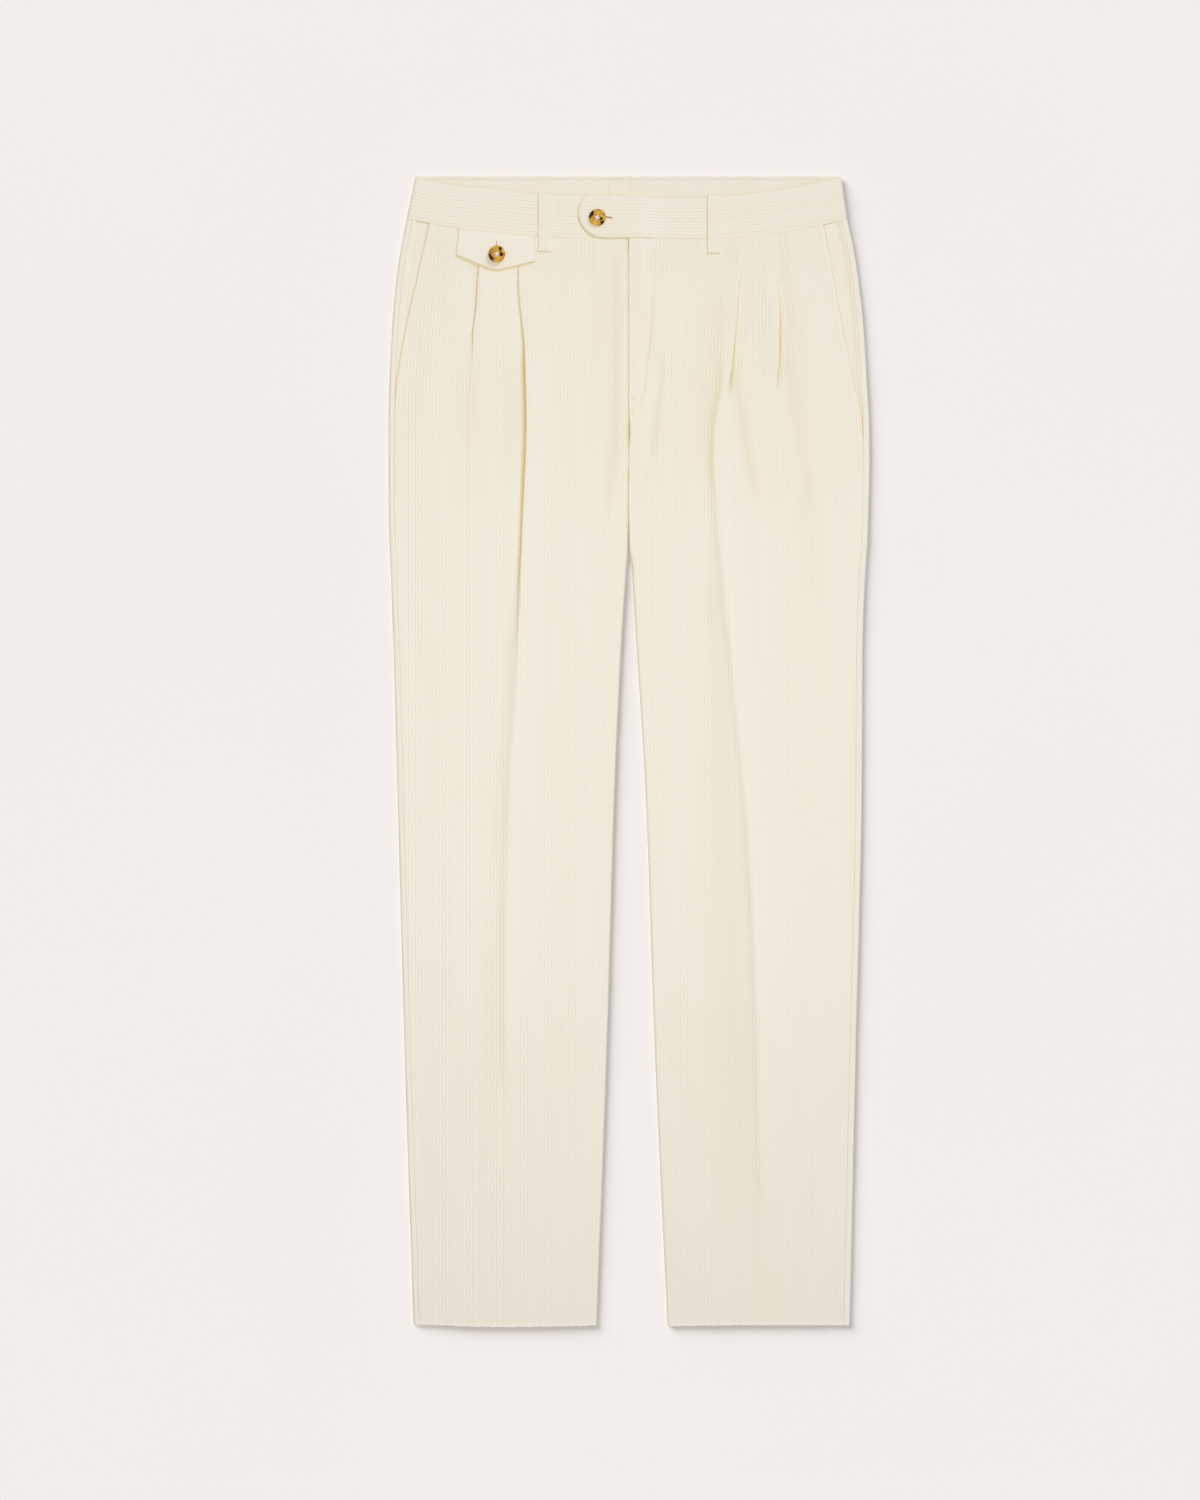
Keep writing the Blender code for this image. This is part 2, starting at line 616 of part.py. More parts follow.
def front_loop(side, material):
    """A front loop: hooked over the band's upper edge, bowed off the band, its foot on the front."""
    across = FRONT_LOOPS[side]
    x = -across if side == "right" else across
    spread = np.linspace(across - LOOP_WIDTH / 2, across + LOOP_WIDTH / 2, 7)
    panel = max(front_top(side, a, height) for a in spread for height in (1018, 1035, 1049))
    foot = panel + SEAM_GAP + STRAP / 2
    band = BAND_LEVEL + BAND / 2 + WALE_RISE + SEAM_GAP + STRAP / 2
    top = float(max(curve(FRONT_EDGE, x + LOOP_WIDTH / 2), curve(FRONT_EDGE, x - LOOP_WIDTH / 2)))
    seam = float(min(curve(WAIST_SEAM, x + LOOP_WIDTH / 2), curve(WAIST_SEAM, x - LOOP_WIDTH / 2)))
    hook = top + SEAM_GAP + STRAP / 2
    path = [(hook, BAND_LEVEL)]
    for i in range(5):
        angle = math.pi / 2 * i / 4
        path.append((hook - LOOP_BEND * (1 - math.cos(angle)), band - LOOP_BEND * (1 - math.sin(angle))))
    start, stop = path[-1][0], seam + 7
    for i in range(1, 7):
        share = i / 6
        path.append((start + (stop - start) * share, band + LOOP_BOW * math.sin(math.pi * share)))
    over = max(band, foot)
    path += [(seam + 2.5, over), (seam - 2.5, over), (seam - 6.5, foot), (seam - LOOP_FOOT, foot)]
    return strap(f"belt_loop_front_{side}", x, path, STRAP, LOOP_WALES, WALE_RISE, material)


def back_loop(name, x, material):
    """A loop behind, pressed flat between the back band and the surface."""
    path = [(height, BACK_LOOP / 2) for height in (LENGTH - 0.5, BACK_SEAM + BAND_HEIGHT / 2, BACK_SEAM + 1)]
    return strap(f"belt_loop_back_{name}", x, path, BACK_LOOP, 1, 0.0, material)


def flap_level(x):
    """The middle of the flap's wall: over the front and its pleats, moved out."""
    across = -x
    reach = np.linspace(-8, 8, 9)
    panel = max(front_top("right", across + d, h) for d in reach for h in (1001, 1018, 1036))
    return panel + SEAM_GAP + FLAP / 2


def watch_flap(material):
    columns = 49
    share = np.linspace(0.0, 1.0, columns)
    lower_x = FLAP_EDGE[0][0] + (FLAP_EDGE[2][0] - FLAP_EDGE[0][0]) * share
    upper_x = FLAP_TOP[0] + (FLAP_TOP[1] - FLAP_TOP[0]) * share
    edge_x, edge_y = np.array(FLAP_EDGE).T
    wale = WALE_RISE * (np.arange(columns) % 2)
    outer, inner = [], []
    for fall in (0.0, 0.35, 0.7, 1.0):
        x = upper_x + (lower_x - upper_x) * fall
        top = curve(WAIST_SEAM, x) - SEAM_GAP
        y = place_y(top + (np.interp(lower_x, edge_x, edge_y) - top) * fall)
        level = np.array([flap_level(place) for place in upper_x])
        outer.append(np.stack([x, y, level + FLAP / 2 + wale], 1))
        inner.append(np.stack([x, y, level - FLAP / 2], 1))
    keys = list(range(0, columns, 8))
    return wall("watch_pocket_flap", np.array(outer), np.array(inner)[:, keys], keys, material)


def button(name, x, height, seat, material):
    """A turned horn button with a dished face and four holes."""
    mesh = bpy.data.meshes.new(f"button_{name}")
    places = [(r * MM, 0.0, z * MM) for r, z in BUTTON_PROFILE]
    mesh.from_pydata(places, [(i, i + 1) for i in range(len(places) - 1)], [])
    mesh.materials.append(material)
    thing = bpy.data.objects.new(f"button_{name}", mesh)
    bpy.data.collections["corduroy_trousers"].objects.link(thing)
    turn = thing.modifiers.new("turn", "SCREW")
    turn.steps = turn.render_steps = BUTTON_SIDES
    turn.use_merge_vertices = True
    turn.merge_threshold = 1e-5
    turn.use_normal_calculate = True
    bm = bmesh.new()
    for i in range(4):
        made = bmesh.ops.create_cone(bm, cap_ends=True, segments=8, radius1=BUTTON_HOLE * MM,
                                     radius2=BUTTON_HOLE * MM, depth=0.01)
        angle = math.pi / 4 + math.pi / 2 * i
        step = BUTTON_HOLE_OFFSET * math.sqrt(2) * MM
        bmesh.ops.translate(bm, verts=made["verts"], vec=(step * math.cos(angle), step * math.sin(angle), 0))
    holes = bpy.data.meshes.new(f"holes_{name}")
    bm.to_mesh(holes)
    bm.free()
    cutter = bpy.data.objects.new(f"holes_{name}", holes)
    bpy.data.collections["cutters"].objects.link(cutter)
    cutter.hide_render = True
    cutter.display_type = "WIRE"
    cut = thing.modifiers.new("holes", "BOOLEAN")
    cut.operation = "DIFFERENCE"
    cut.object = cutter
    place = (x * MM, place_y(height) * MM, seat * MM)
    thing.location = place
    cutter.location = place
    return thing


def materials():
    made = {}
    for name, colour in COLOURS.items():
        material = bpy.data.materials.new(name)
        material.use_nodes = True
        shader = material.node_tree.nodes["Principled BSDF"]
        shader.inputs["Base Color"].default_value = colour
        shader.inputs["Roughness"].default_value = 0.3 if name == "horn" else 0.9
        shader.inputs["Metallic"].default_value = 0.0
        made[name] = material
    return made


def main():
    for thing in list(bpy.data.objects):
        bpy.data.objects.remove(thing)
    collection = bpy.data.collections.new("corduroy_trousers")
    cutters = bpy.data.collections.new("cutters")
    bpy.context.scene.collection.children.link(collection)
    bpy.context.scene.collection.children.link(cutters)
    cloth = materials()
    corduroy, twill = cloth["corduroy"], cloth["twill"]
    for side in ("right", "left"):
        front(side, corduroy)
        back(side, corduroy)
        pocket_facing(side, corduroy)
        band_front(side, corduroy)
        front_loop(side, corduroy)
    band_back(corduroy, twill)
    for name, x in BACK_LOOPS.items():
        back_loop(name, x, corduroy)
    watch_flap(corduroy)
    seats = {
        "waist": TAB_LEVEL + BAND / 2 + WALE_RISE + SEAM_GAP,
        "watch_pocket": flap_level(BUTTONS["watch_pocket"][0]) + FLAP / 2 + WALE_RISE + SEAM_GAP,
    }
    for name, (x, height) in BUTTONS.items():
        button(name, x, height, seats[name], cloth["horn"])


main()
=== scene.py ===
"""Finishes corduroy trousers that are laid flat: fine cloth, horn buttons and sewing over their solids.

Frame: +X is the wearer's left, +Y runs up to the waist, +Z leaves the surface that they lie on.
"right" and "left" in the names are the wearer's. Sizes in tables are in millimetres, heights are above
the hem, and "across" is a distance from the centre line.
"""

import functools
import math
from collections import namedtuple

import bmesh
import bpy
import numpy as np
from bpy.props import FloatProperty, FloatVectorProperty, PointerProperty
from bpy.types import Operator, Panel, PropertyGroup
from mathutils import Matrix, Vector


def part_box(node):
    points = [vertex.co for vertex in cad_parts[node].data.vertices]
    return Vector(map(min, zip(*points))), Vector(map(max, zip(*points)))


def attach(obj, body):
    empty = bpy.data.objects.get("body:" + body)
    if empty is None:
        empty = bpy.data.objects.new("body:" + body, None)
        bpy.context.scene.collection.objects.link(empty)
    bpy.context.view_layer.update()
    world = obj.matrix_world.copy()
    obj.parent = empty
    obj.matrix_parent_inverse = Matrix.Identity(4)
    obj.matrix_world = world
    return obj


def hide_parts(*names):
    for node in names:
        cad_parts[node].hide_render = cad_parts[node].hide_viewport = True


bl_info = {
    "name": "Corduroy trousers",
    "version": (1, 0, 0),
    "blender": (4, 5, 0),
    "location": "View3D > Sidebar > Trousers",
    "description": "Pleated corduroy trousers laid flat, with their cloth, buttons and sewing",
    "category": "Object",
}

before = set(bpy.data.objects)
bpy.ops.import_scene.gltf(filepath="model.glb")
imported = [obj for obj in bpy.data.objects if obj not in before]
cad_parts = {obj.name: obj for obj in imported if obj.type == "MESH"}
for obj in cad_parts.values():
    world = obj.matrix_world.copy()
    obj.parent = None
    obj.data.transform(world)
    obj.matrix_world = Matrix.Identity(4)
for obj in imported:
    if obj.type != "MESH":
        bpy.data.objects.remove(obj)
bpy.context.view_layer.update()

SIDES = ("right", "left")
SIGN = {"right": -1, "left": 1}  # which way "across" runs on each side

# Driving sizes of the cut
MM = 0.001
LENGTH = 1091.0
CLOTH = 1.3
FACING = 1.0
BAND = 2.2
STRAP = 1.2
FLAP = 1.3
SEAM_GAP = 0.35  # room between layers that are sewn together
SEWN = 0.06  # between the edges of a seam
SEAM_EDGE = 0.3  # radius of an edge that is sewn
RIGHT_DRAWN = 0.6 - SEWN  # how far the right front is drawn to the left one above the crotch
LAYER_GAP = 0.4
WALE_SPACE = 0.3  # room above the cloth that the wales may take
BACK_LEVEL = CLOTH / 2
FRONT_LEVEL = 4.25
PILLOW, PILLOW_EDGE = 0.8, 40.0
ROLL = (FRONT_LEVEL - BACK_LEVEL) / 2
SEAM_INSET = 5.5
BAND_HEIGHT = 41.0
BAND_LIFT = 1.4
LIFT_START, LIFT_RUN = 1005.0, 40.0
FLY_UNDERLAP = 8.0
FLY_FOOT, FLY_FOOT_RUN = 816.0, 6.0
FLY_STEP = CLOTH + 0.2
FLY_STEP_FOOT, FLY_STEP_RISE, FLY_STEP_RUN = 780.0, 40.0, 12.0
BAND_UNDERLAP = FLY_UNDERLAP + 2
BAND_LEVEL = 5.5
BAND_ROLL = 1.6
TAB_LEVEL = BAND_LEVEL + BAND + SEAM_GAP
TAB_TOP = TAB_LEVEL + BAND / 2 + WALE_SPACE
TAB_STEP = (12.0, 32.0)
CROTCH = 742.0
INSEAM_TURN_RUN = 40.0
INSEAM_BEND = 2.5
EDGE_STILL = 15.0
PLEAT_BEND = (CLOTH + LAYER_GAP) / 2
PLEAT_DIP, PLEAT_REACH, PLEAT_FALL = 0.45, 16.0, 22.0
SHORTEST_TUCK = 0.4
WAIST = 1049.0  # height of the fronts' top row before it follows the waist seam
SEAM_BEND_START = 958.0
BACK_SEAM = LENGTH - BAND_HEIGHT
HEM_SEWN = 47.5  # height of the hem's blind stitching

Leg = namedtuple("Leg", "height outline edge inner")
LEGS = {
    "right": [
        Leg(1049, 211.0, 189.5, 0.8),
        Leg(1018, 217.0, 196.0, 0.8),
        Leg(990, 221.0, 202.0, 0.8),
        Leg(958, 224.0, 209.5, 0.8),
        Leg(924, 226.0, 216.0, 0.8),
        Leg(890, 227.6, 221.0, 0.8),
        Leg(856, 228.0, 222.5, 0.8),
        Leg(820, 228.0, 222.5, 0.8),
        Leg(780, 228.0, 222.5, 0.8),
        Leg(742, 227.0, 221.5, 0.9),
        Leg(720, 226.2, 220.7, 2.6),
        Leg(640, 223.2, 217.7, 7.8),
        Leg(500, 219.4, 213.9, 14.2),
        Leg(260, 212.8, 207.3, 21.4),
        Leg(0, 204.4, 198.9, 31.3),
    ],
    "left": [
        Leg(1049, 206.5, 184.0, -0.4),
        Leg(1018, 213.6, 189.5, -0.4),
        Leg(990, 217.6, 194.5, -0.4),
        Leg(958, 221.5, 200.0, -0.4),
        Leg(924, 223.8, 207.0, -0.4),
        Leg(890, 225.8, 214.0, -0.4),
        Leg(856, 227.6, 221.0, -0.4),
        Leg(820, 228.0, 222.5, -0.4),
        Leg(780, 227.0, 221.5, -0.4),
        Leg(742, 226.0, 220.5, 0.3),
        Leg(720, 224.2, 218.7, 2.6),
        Leg(640, 221.3, 215.8, 7.6),
        Leg(500, 220.4, 214.9, 16.1),
        Leg(260, 214.8, 209.3, 24.6),
        Leg(0, 209.0, 203.5, 36.6),
    ],
}

# Reverse pleats: across is where the fold lies, tuck how far the cloth doubles back under it, turn the
# angle of the fold and bend the radius of the wall's middle there.
Pleat = namedtuple("Pleat", "height across tuck turn bend")
PLEAT_NAMES = ("second", "main")  # from the side to the centre
PLEATS = {
    ("right", "second"): [
        Pleat(1049, 141.5, 0, 8, 12.0),
        Pleat(1017, 142.4, 0, 8, 12.0),
        Pleat(1012, 142.6, 0, 22, 3.6),
        Pleat(1008, 142.8, 0, 50, 1.6),
        Pleat(1004, 143.0, 0, 110, 0.68),
        Pleat(999, 143.2, 1, 180, PLEAT_BEND),
        Pleat(966, 144.9, 1, 180, PLEAT_BEND),
        Pleat(953, 146.6, 0.5, 180, PLEAT_BEND),
        Pleat(945, 147.3, 0, 150, PLEAT_BEND),
        Pleat(938, 147.9, 0, 100, 0.75),
        Pleat(930, 148.4, 0, 50, 1.6),
        Pleat(921, 149.2, 0, 22, 3.6),
        Pleat(905, 150.4, 0, 12, 8.0),
        Pleat(856, 153.0, 0, 8, 14.0),
        Pleat(0, 148.0, 0, 5, 20.0),
    ],
    ("right", "main"): [
        Pleat(1049, 105.4, 0, 8, 12.0),
        Pleat(1017, 105.0, 0, 8, 12.0),
        Pleat(1012, 105.0, 0, 22, 3.6),
        Pleat(1008, 104.9, 0, 50, 1.6),
        Pleat(1004, 104.8, 0, 110, 0.68),
        Pleat(999, 104.7, 2, 180, PLEAT_BEND),
        Pleat(980, 104.0, 6, 180, PLEAT_BEND),
        Pleat(924, 98.8, 8, 180, PLEAT_BEND),
        Pleat(856, 97.2, 5, 180, PLEAT_BEND),
        Pleat(780, 100.2, 1, 180, PLEAT_BEND),
        Pleat(742, 102.0, 0, 95, 1.15),
        Pleat(720, 103.2, 0, 60, 1.9),
        Pleat(640, 106.5, 0, 30, 4.0),
        Pleat(500, 114.0, 0, 14, 9.0),
        Pleat(260, 118.8, 0, 5, 20.0),
        Pleat(0, 118.8, 0, 5, 20.0),
    ],
    ("left", "second"): [
        Pleat(1049, 138.7, 0, 8, 12.0),
        Pleat(1008, 140.2, 0, 8, 12.0),
        Pleat(1002, 140.5, 0, 22, 3.6),
        Pleat(996, 140.8, 0, 50, 1.6),
        Pleat(991, 141.1, 0, 110, 0.68),
        Pleat(985, 141.4, 0.5, 180, PLEAT_BEND),
        Pleat(958, 142.7, 1.5, 180, PLEAT_BEND),
        Pleat(924, 141.6, 0, 170, PLEAT_BEND),
        Pleat(908, 141.0, 0, 110, 0.68),
        Pleat(900, 140.7, 0, 50, 1.6),
        Pleat(890, 140.4, 0, 22, 3.6),
        Pleat(870, 141.0, 0, 12, 8.0),
        Pleat(780, 144.0, 0, 6, 18.0),
        Pleat(0, 148.0, 0, 5, 20.0),
    ],
    ("left", "main"): [
        Pleat(1049, 105.6, 0, 8, 12.0),
        Pleat(1009, 105.2, 0, 8, 12.0),
        Pleat(1003, 104.9, 0, 22, 3.6),
        Pleat(997, 104.6, 0, 50, 1.6),
        Pleat(992, 104.3, 0, 110, 0.68),
        Pleat(986, 104.0, 1, 180, PLEAT_BEND),
        Pleat(958, 101.9, 2, 180, PLEAT_BEND),
        Pleat(929, 99.0, 1, 180, PLEAT_BEND),
        Pleat(911, 97.0, 0, 150, PLEAT_BEND),
        Pleat(903, 96.2, 0, 100, 0.75),
        Pleat(896, 95.5, 0, 50, 1.6),
        Pleat(888, 95.0, 0, 22, 3.6),
        Pleat(870, 94.2, 0, 12, 8.0),
        Pleat(780, 94.0, 0, 8, 14.0),
        Pleat(640, 100.0, 0, 5, 20.0),
        Pleat(0, 112.0, 0, 5, 20.0),
    ],
}

# Soft creases of each leg: a ridge or trough follows its line. rise is its greatest height, outer and
# inner are its half widths on the side seam's and the inseam's side, fade is how its ends die away.
Crease = namedtuple("Crease", "side rise outer inner fade line")
CREASES = [
    Crease("right", 1.2, 4, 15, 60, ((780, 100.0), (640, 106.5), (500, 113.5), (400, 118.0), (230, 119.2))),
    Crease("right", -1.2, 9, 6, 60, ((1000, 6.0), (958, 13.3), (898, 14.2), (834, 16.1), (760, 15.0))),
    Crease("right", -0.4, 9, 8, 50, ((935, 128.0), (870, 123.0), (790, 121.0), (690, 126.0))),
    Crease("right", 0.35, 8, 12, 60, ((900, 182.0), (820, 178.0), (700, 181.0), (560, 178.0))),
    Crease("right", 0.3, 12, 9, 60, ((985, 58.0), (900, 52.0), (790, 57.0), (660, 66.0))),
    Crease("right", -0.3, 14, 10, 80, ((620, 60.0), (470, 66.0), (300, 74.0))),
    Crease("right", 0.25, 16, 18, 80, ((470, 168.0), (330, 162.0), (150, 158.0))),
    Crease("left", 1.3, 14, 4, 60, ((945, 94.0), (872, 83.8), (825, 79.8), (774, 83.5), (696, 90.2),
                                    (587, 102.0), (446, 114.5), (300, 121.2), (90, 125.5))),
    Crease("left", -1.2, 8, 8, 60, ((940, 144.0), (907, 148.2), (860, 155.8), (800, 168.0))),
    Crease("left", -0.9, 5, 7, 40, ((930, 33.0), (895, 29.4), (862, 25.6), (815, 19.5))),
    Crease("left", -0.5, 6, 5, 30, ((930, 99.0), (895, 101.0), (857, 104.0), (800, 107.0))),
    Crease("left", 0.35, 9, 9, 60, ((900, 122.0), (820, 118.0), (720, 124.0), (600, 128.0))),
    Crease("left", -0.3, 10, 12, 60, ((700, 60.0), (560, 68.0), (420, 74.0))),
    Crease("left", 0.3, 12, 9, 50, ((990, 62.0), (900, 58.0), (800, 54.0), (700, 58.0))),
    Crease("left", 0.3, 14, 14, 80, ((560, 176.0), (400, 170.0), (220, 166.0))),
]
BACK_CREASES = [
    Crease("right", 0.4, 10, 14, 70, ((900, 120.0), (700, 116.0), (480, 112.0))),
    Crease("right", 0.3, 16, 9, 50, ((690, 60.0), (560, 84.0), (470, 104.0))),
    Crease("left", 0.4, 12, 9, 70, ((860, 112.0), (640, 108.0), (420, 116.0))),
    Crease("left", 0.3, 9, 15, 50, ((660, 66.0), (540, 88.0), (450, 98.0))),
]
# How far out the grain of each of a front's three zones stands at the waist, and the height below which
# it hangs straight: the cloth turns a little at every pleat
Lean = namedtuple("Lean", "shift foot")
LEANS = {
    "right": (Lean(-17.0, 850.0), Lean(0.0, 900.0), Lean(9.0, 800.0)),
    "left": (Lean(-16.0, 815.0), Lean(0.0, 900.0), Lean(12.0, 820.0)),
}
CENTRE_LEAN_RUN = 90.0
# How far each pleat's fold stands open, drawn as painted shade: height, share of its full darkness, width of
# the painted shadow beside it
SHOWN = {
    ("right", "second"): ((0, 0, 1), (905, 0, 1.5), (920, 0.12, 2.5), (935, 0.35, 2.0), (945, 0.6, 1.2),
                          (958, 0.8, 0.8), (990, 0.8, 0.4), (1004, 0.6, 0.3), (1012, 0.2, 0.2),
                          (1049, 0, 0.2)),
    ("right", "main"): ((0, 0, 1), (640, 0.1, 1.5), (670, 0.4, 1.6), (746, 0.8, 2.6), (812, 1, 3.2),
                        (912, 1, 3.4), (930, 0.9, 1.6), (958, 0.7, 0.6), (975, 0.5, 0.4), (1004, 0.4, 0.3),
                        (1012, 0.2, 0.2), (1049, 0, 0.2)),
    ("left", "second"): ((0, 0, 1), (886, 0, 3), (898, 0.35, 3), (910, 0.7, 2.5), (932, 1, 1.6),
                         (950, 1, 1.2), (971, 0.7, 0.8), (983, 0.3, 0.4), (993, 0, 0.2), (1049, 0, 0.2)),
    ("left", "main"): ((0, 0, 1), (882, 0, 3), (892, 0.5, 3), (900, 0.9, 2.5), (914, 1, 1.7), (930, 0.9, 1.0),
                       (947, 0.7, 0.7), (963, 0.5, 0.4), (985, 0.4, 0.3), (993, 0, 0.2), (1049, 0, 0.2)),
}
# Soft light and warm shade beside the lines that the legs are folded and creased along. A tone is above
# nothing where the cloth is shaded and below it where it is pale. It dies away over its width on each side.
Tone = namedtuple("Tone", "side outer outer_width inner inner_width fade line")
RIGHT_RIDGE = ((940, 99.6), (880, 97.9), (831, 98.8), (746, 101.1), (708, 103.6), (669, 107.4), (623, 110.2),
               (541, 114.5), (423, 118.0), (336, 118.4), (214, 119.0))
LEFT_RIDGE = ((925, 91.8), (914, 90.3), (888, 87.5), (872, 84.5), (857, 81.5), (841, 80.6), (825, 80.2),
              (774, 83.6), (696, 89.5), (651, 95.0), (587, 100.9), (520, 107.5), (446, 113.6), (354, 118.6),
              (263, 121.5), (150, 123.5))
TONES = [
    Tone("right", -0.12, 400, -0.1, 400, 120, ((850, 100), (250, 118))),
    Tone("right", 0.2, 6, -0.12, 30, 40, RIGHT_RIDGE[:6]),
    Tone("right", 0.07, 6, -0.1, 26, 70, RIGHT_RIDGE[4:]),
    Tone("right", 0.1, 10, 0.1, 6, 40, ((925, 149), (860, 151), (815, 152))),
    Tone("right", 0.08, 16, 0.0, 1, 50, ((950, 103), (900, 101), (780, 103))),
    Tone("right", 0.24, 7, 0.18, 4, 50, ((1060, 11), (985, 11.5), (950, 12.5), (900, 12.5), (850, 13.5),
                                         (800, 17), (740, 20))),
    Tone("right", -0.1, 2.5, -0.1, 2.5, 50, ((960, 5.5), (900, 6.5), (830, 7.5))),
    Tone("right", 0.06, 6, 0.06, 6, 40, ((1010, 26), (940, 29), (880, 30))),
    Tone("left", -0.12, 400, -0.12, 400, 120, ((850, 80), (240, 120))),
    Tone("left", -0.1, 12, 0.42, 4.5, 30, LEFT_RIDGE[:8]),
    Tone("left", -0.16, 22, 0.03, 5, 120, LEFT_RIDGE[5:]),
    Tone("right", 0.05, 300, 0.05, 300, 90, ((110, 100), (-120, 100))),
    Tone("left", 0.07, 300, 0.05, 300, 90, ((110, 100), (-120, 100))),
    Tone("left", 0.13, 2.4, 0.13, 2.0, 30, ((965, 22.5), (930, 20.4), (905, 17.0))),
    Tone("left", 0.06, 12, 0.1, 14, 40, ((1000, 92), (974, 89), (936, 87), (880, 82), (830, 78), (780, 80))),
    Tone("left", 0.26, 5, 0.26, 3, 30, ((925, 101.5), (905, 100.5), (879, 103.2), (850, 108.3), (797, 118),
                                        (765, 126))),
    Tone("left", 0.15, 9, 0.1, 5, 40, ((1000, 149), (940, 150), (898, 149), (879, 151), (833, 162),
                                       (760, 172))),
    Tone("left", 0.18, 1.2, 0.18, 1.6, 12, ((935, 143.6), (926, 145.1), (912, 147), (898, 149))),
    Tone("left", 0.14, 3, 0.14, 3, 30, ((890, 31.5), (861, 25.7), (792, 14.3), (770, 11))),
    Tone("left", 0.10, 3, 0.10, 3, 30, ((985, 16), (940, 14), (905, 11.5))),
    Tone("left", -0.12, 2.4, -0.12, 2.4, 25, ((950, 9.0), (900, 8.6), (860, 7.5))),
]
# Grey shade on the falling side of each leg's crease: height, where its edge runs, depth, and how far it
# reaches towards the side seam and the inseam
Shade = namedtuple("Shade", "side rows")
SHADES = [
    Shade("right", ((700, 104.5, 0.0, 8, 1.5), (651, 108.5, 0.25, 9, 1.5), (537, 114.8, 0.26, 10, 1.8),
                    (423, 118.0, 0.16, 15, 2), (309, 118.5, 0.11, 22, 3), (166, 119.0, 0.04, 24, 4),
                    (60, 119.0, 0.0, 24, 4))),
    Shade("left", ((810, 79.5, 0.0, 2, 9), (760, 84.5, 0.2, 2, 12), (689, 90.5, 0.32, 2, 19),
                   (575, 102.0, 0.22, 2, 30), (451, 113.6, 0.21, 2, 42), (309, 120.0, 0.2, 2.5, 46),
                   (166, 123.0, 0.12, 3, 46), (50, 125.0, 0.0, 4, 46))),
    Shade("left", ((850, 158.0, 0.0, 9, 8), (784, 168.0, 0.12, 10, 10), (700, 172.0, 0.06, 10, 10),
                   (640, 174.0, 0.0, 10, 10))),
    Shade("left", ((935, 33.0, 0.0, 2.5, 2.5), (905, 31.4, 0.15, 2.5, 2.5), (867, 26.8, 0.2, 3, 3),
                   (830, 24.8, 0.12, 3, 3), (800, 24.0, 0.0, 3, 3))),
]
# How dark the painted shade along the waist seam is
SEAM_SHADE = ((-200, 0.1), (-165, 0.22), (-60, 0.25), (-47, 0.08), (0, 0.05), (5, 0), (24, 0), (34, 0.22),
              (68, 0.3), (80, 0.05), (160, 0.05), (205, 0.05))
# Painted shade on the line where the two fronts meet below the slit: height, share of its full darkness
MEETING = ((0, 0), (735, 0.8), (750, 1.6), (770, 1.2), (800, 0.8), (808, 1.3), (814, 1.0), (819, 0))
HEM_LINE = {
    "right": ((30, 0.3), (75, -0.6), (118, -1.2), (160, -0.4), (200, 1.9)),
    "left": ((35, -0.4), (80, 0.4), (120, 1.0), (165, 1.1), (210, 0.7)),
}
# Slow swells of the cloth: rise, wavelength across, wavelength along, start of each
Swell = namedtuple("Swell", "rise across along shift")
SWELLS = (Swell(0.13, 47.0, 430.0, 0.6), Swell(0.10, 29.0, 310.0, 2.1), Swell(0.08, 71.0, 190.0, 4.0))

WAIST_SEAM = ((-211, 1050), (-161, 1041), (-88, 1034), (-49, 1032), (0, 1032), (86, 1032), (134, 1036),
              (181, 1044), (207, 1050))
FRONT_EDGE = ((-203, 1090), (-170, 1083), (-122, 1079), (-96, 1075), (-37, 1073), (86, 1072), (134, 1077),
              (200, 1090))
BAND_SIDE = {"right": (211.0, 202.6), "left": (206.5, 200.8)}
# Seams of the twill inside the band, and the soft ridge between the last two
InnerSeam = namedtuple("InnerSeam", "across dent width")
INNER_SEAMS = (InnerSeam(-19.7, 0.16, 0.5), InnerSeam(0.5, 0.24, 0.45), InnerSeam(4.3, 0.2, 0.45))
INNER_FOLD = InnerSeam(2.4, -0.1, 1.2)
TAB_END = 48.2
TAB_LOWER_CORNER = (26.0, 24.0)
TAB_UPPER_CORNER = (14.0, 17.0)

FLAP_EDGE = ((-163.8, 1015.6), (-127.6, 1000.6), (-88.8, 1009.6))
FLAP_TOP = (-161.5, -89.3)
FLAP_WIDTH, FLAP_FALL = 75.0, 25.0  # about, for the widths of its rims
FLAP_CLOSE = 9.0  # how far in from its edges the flap lies close to the cloth
# How dark the shadow painted on each front loop's edge on the wearer's right is, and the heights at which it
# is
LOOP_EDGE_SHADOW = {"right": (0.2, 1.4), "left": (1.1, 0.8)}
LOOP_EDGE_SHADOW_AT = (1036.0, 1076.0)
LOOP_WIDTH, LOOP_FOOT, LOOP_BOW, LOOP_BEND = 12.0, 14.0, 0.5, 1.5
FRONT_LOOPS = {"right": 80.3, "left": 80.2}
BACK_LOOPS = {"right": -118.0, "centre": 0.0, "left": 118.0}
BACK_LOOP = 1.0
BUTTONS = {"waist": (-30.1, 1050.8), "watch_pocket": (-125.3, 1015.9)}
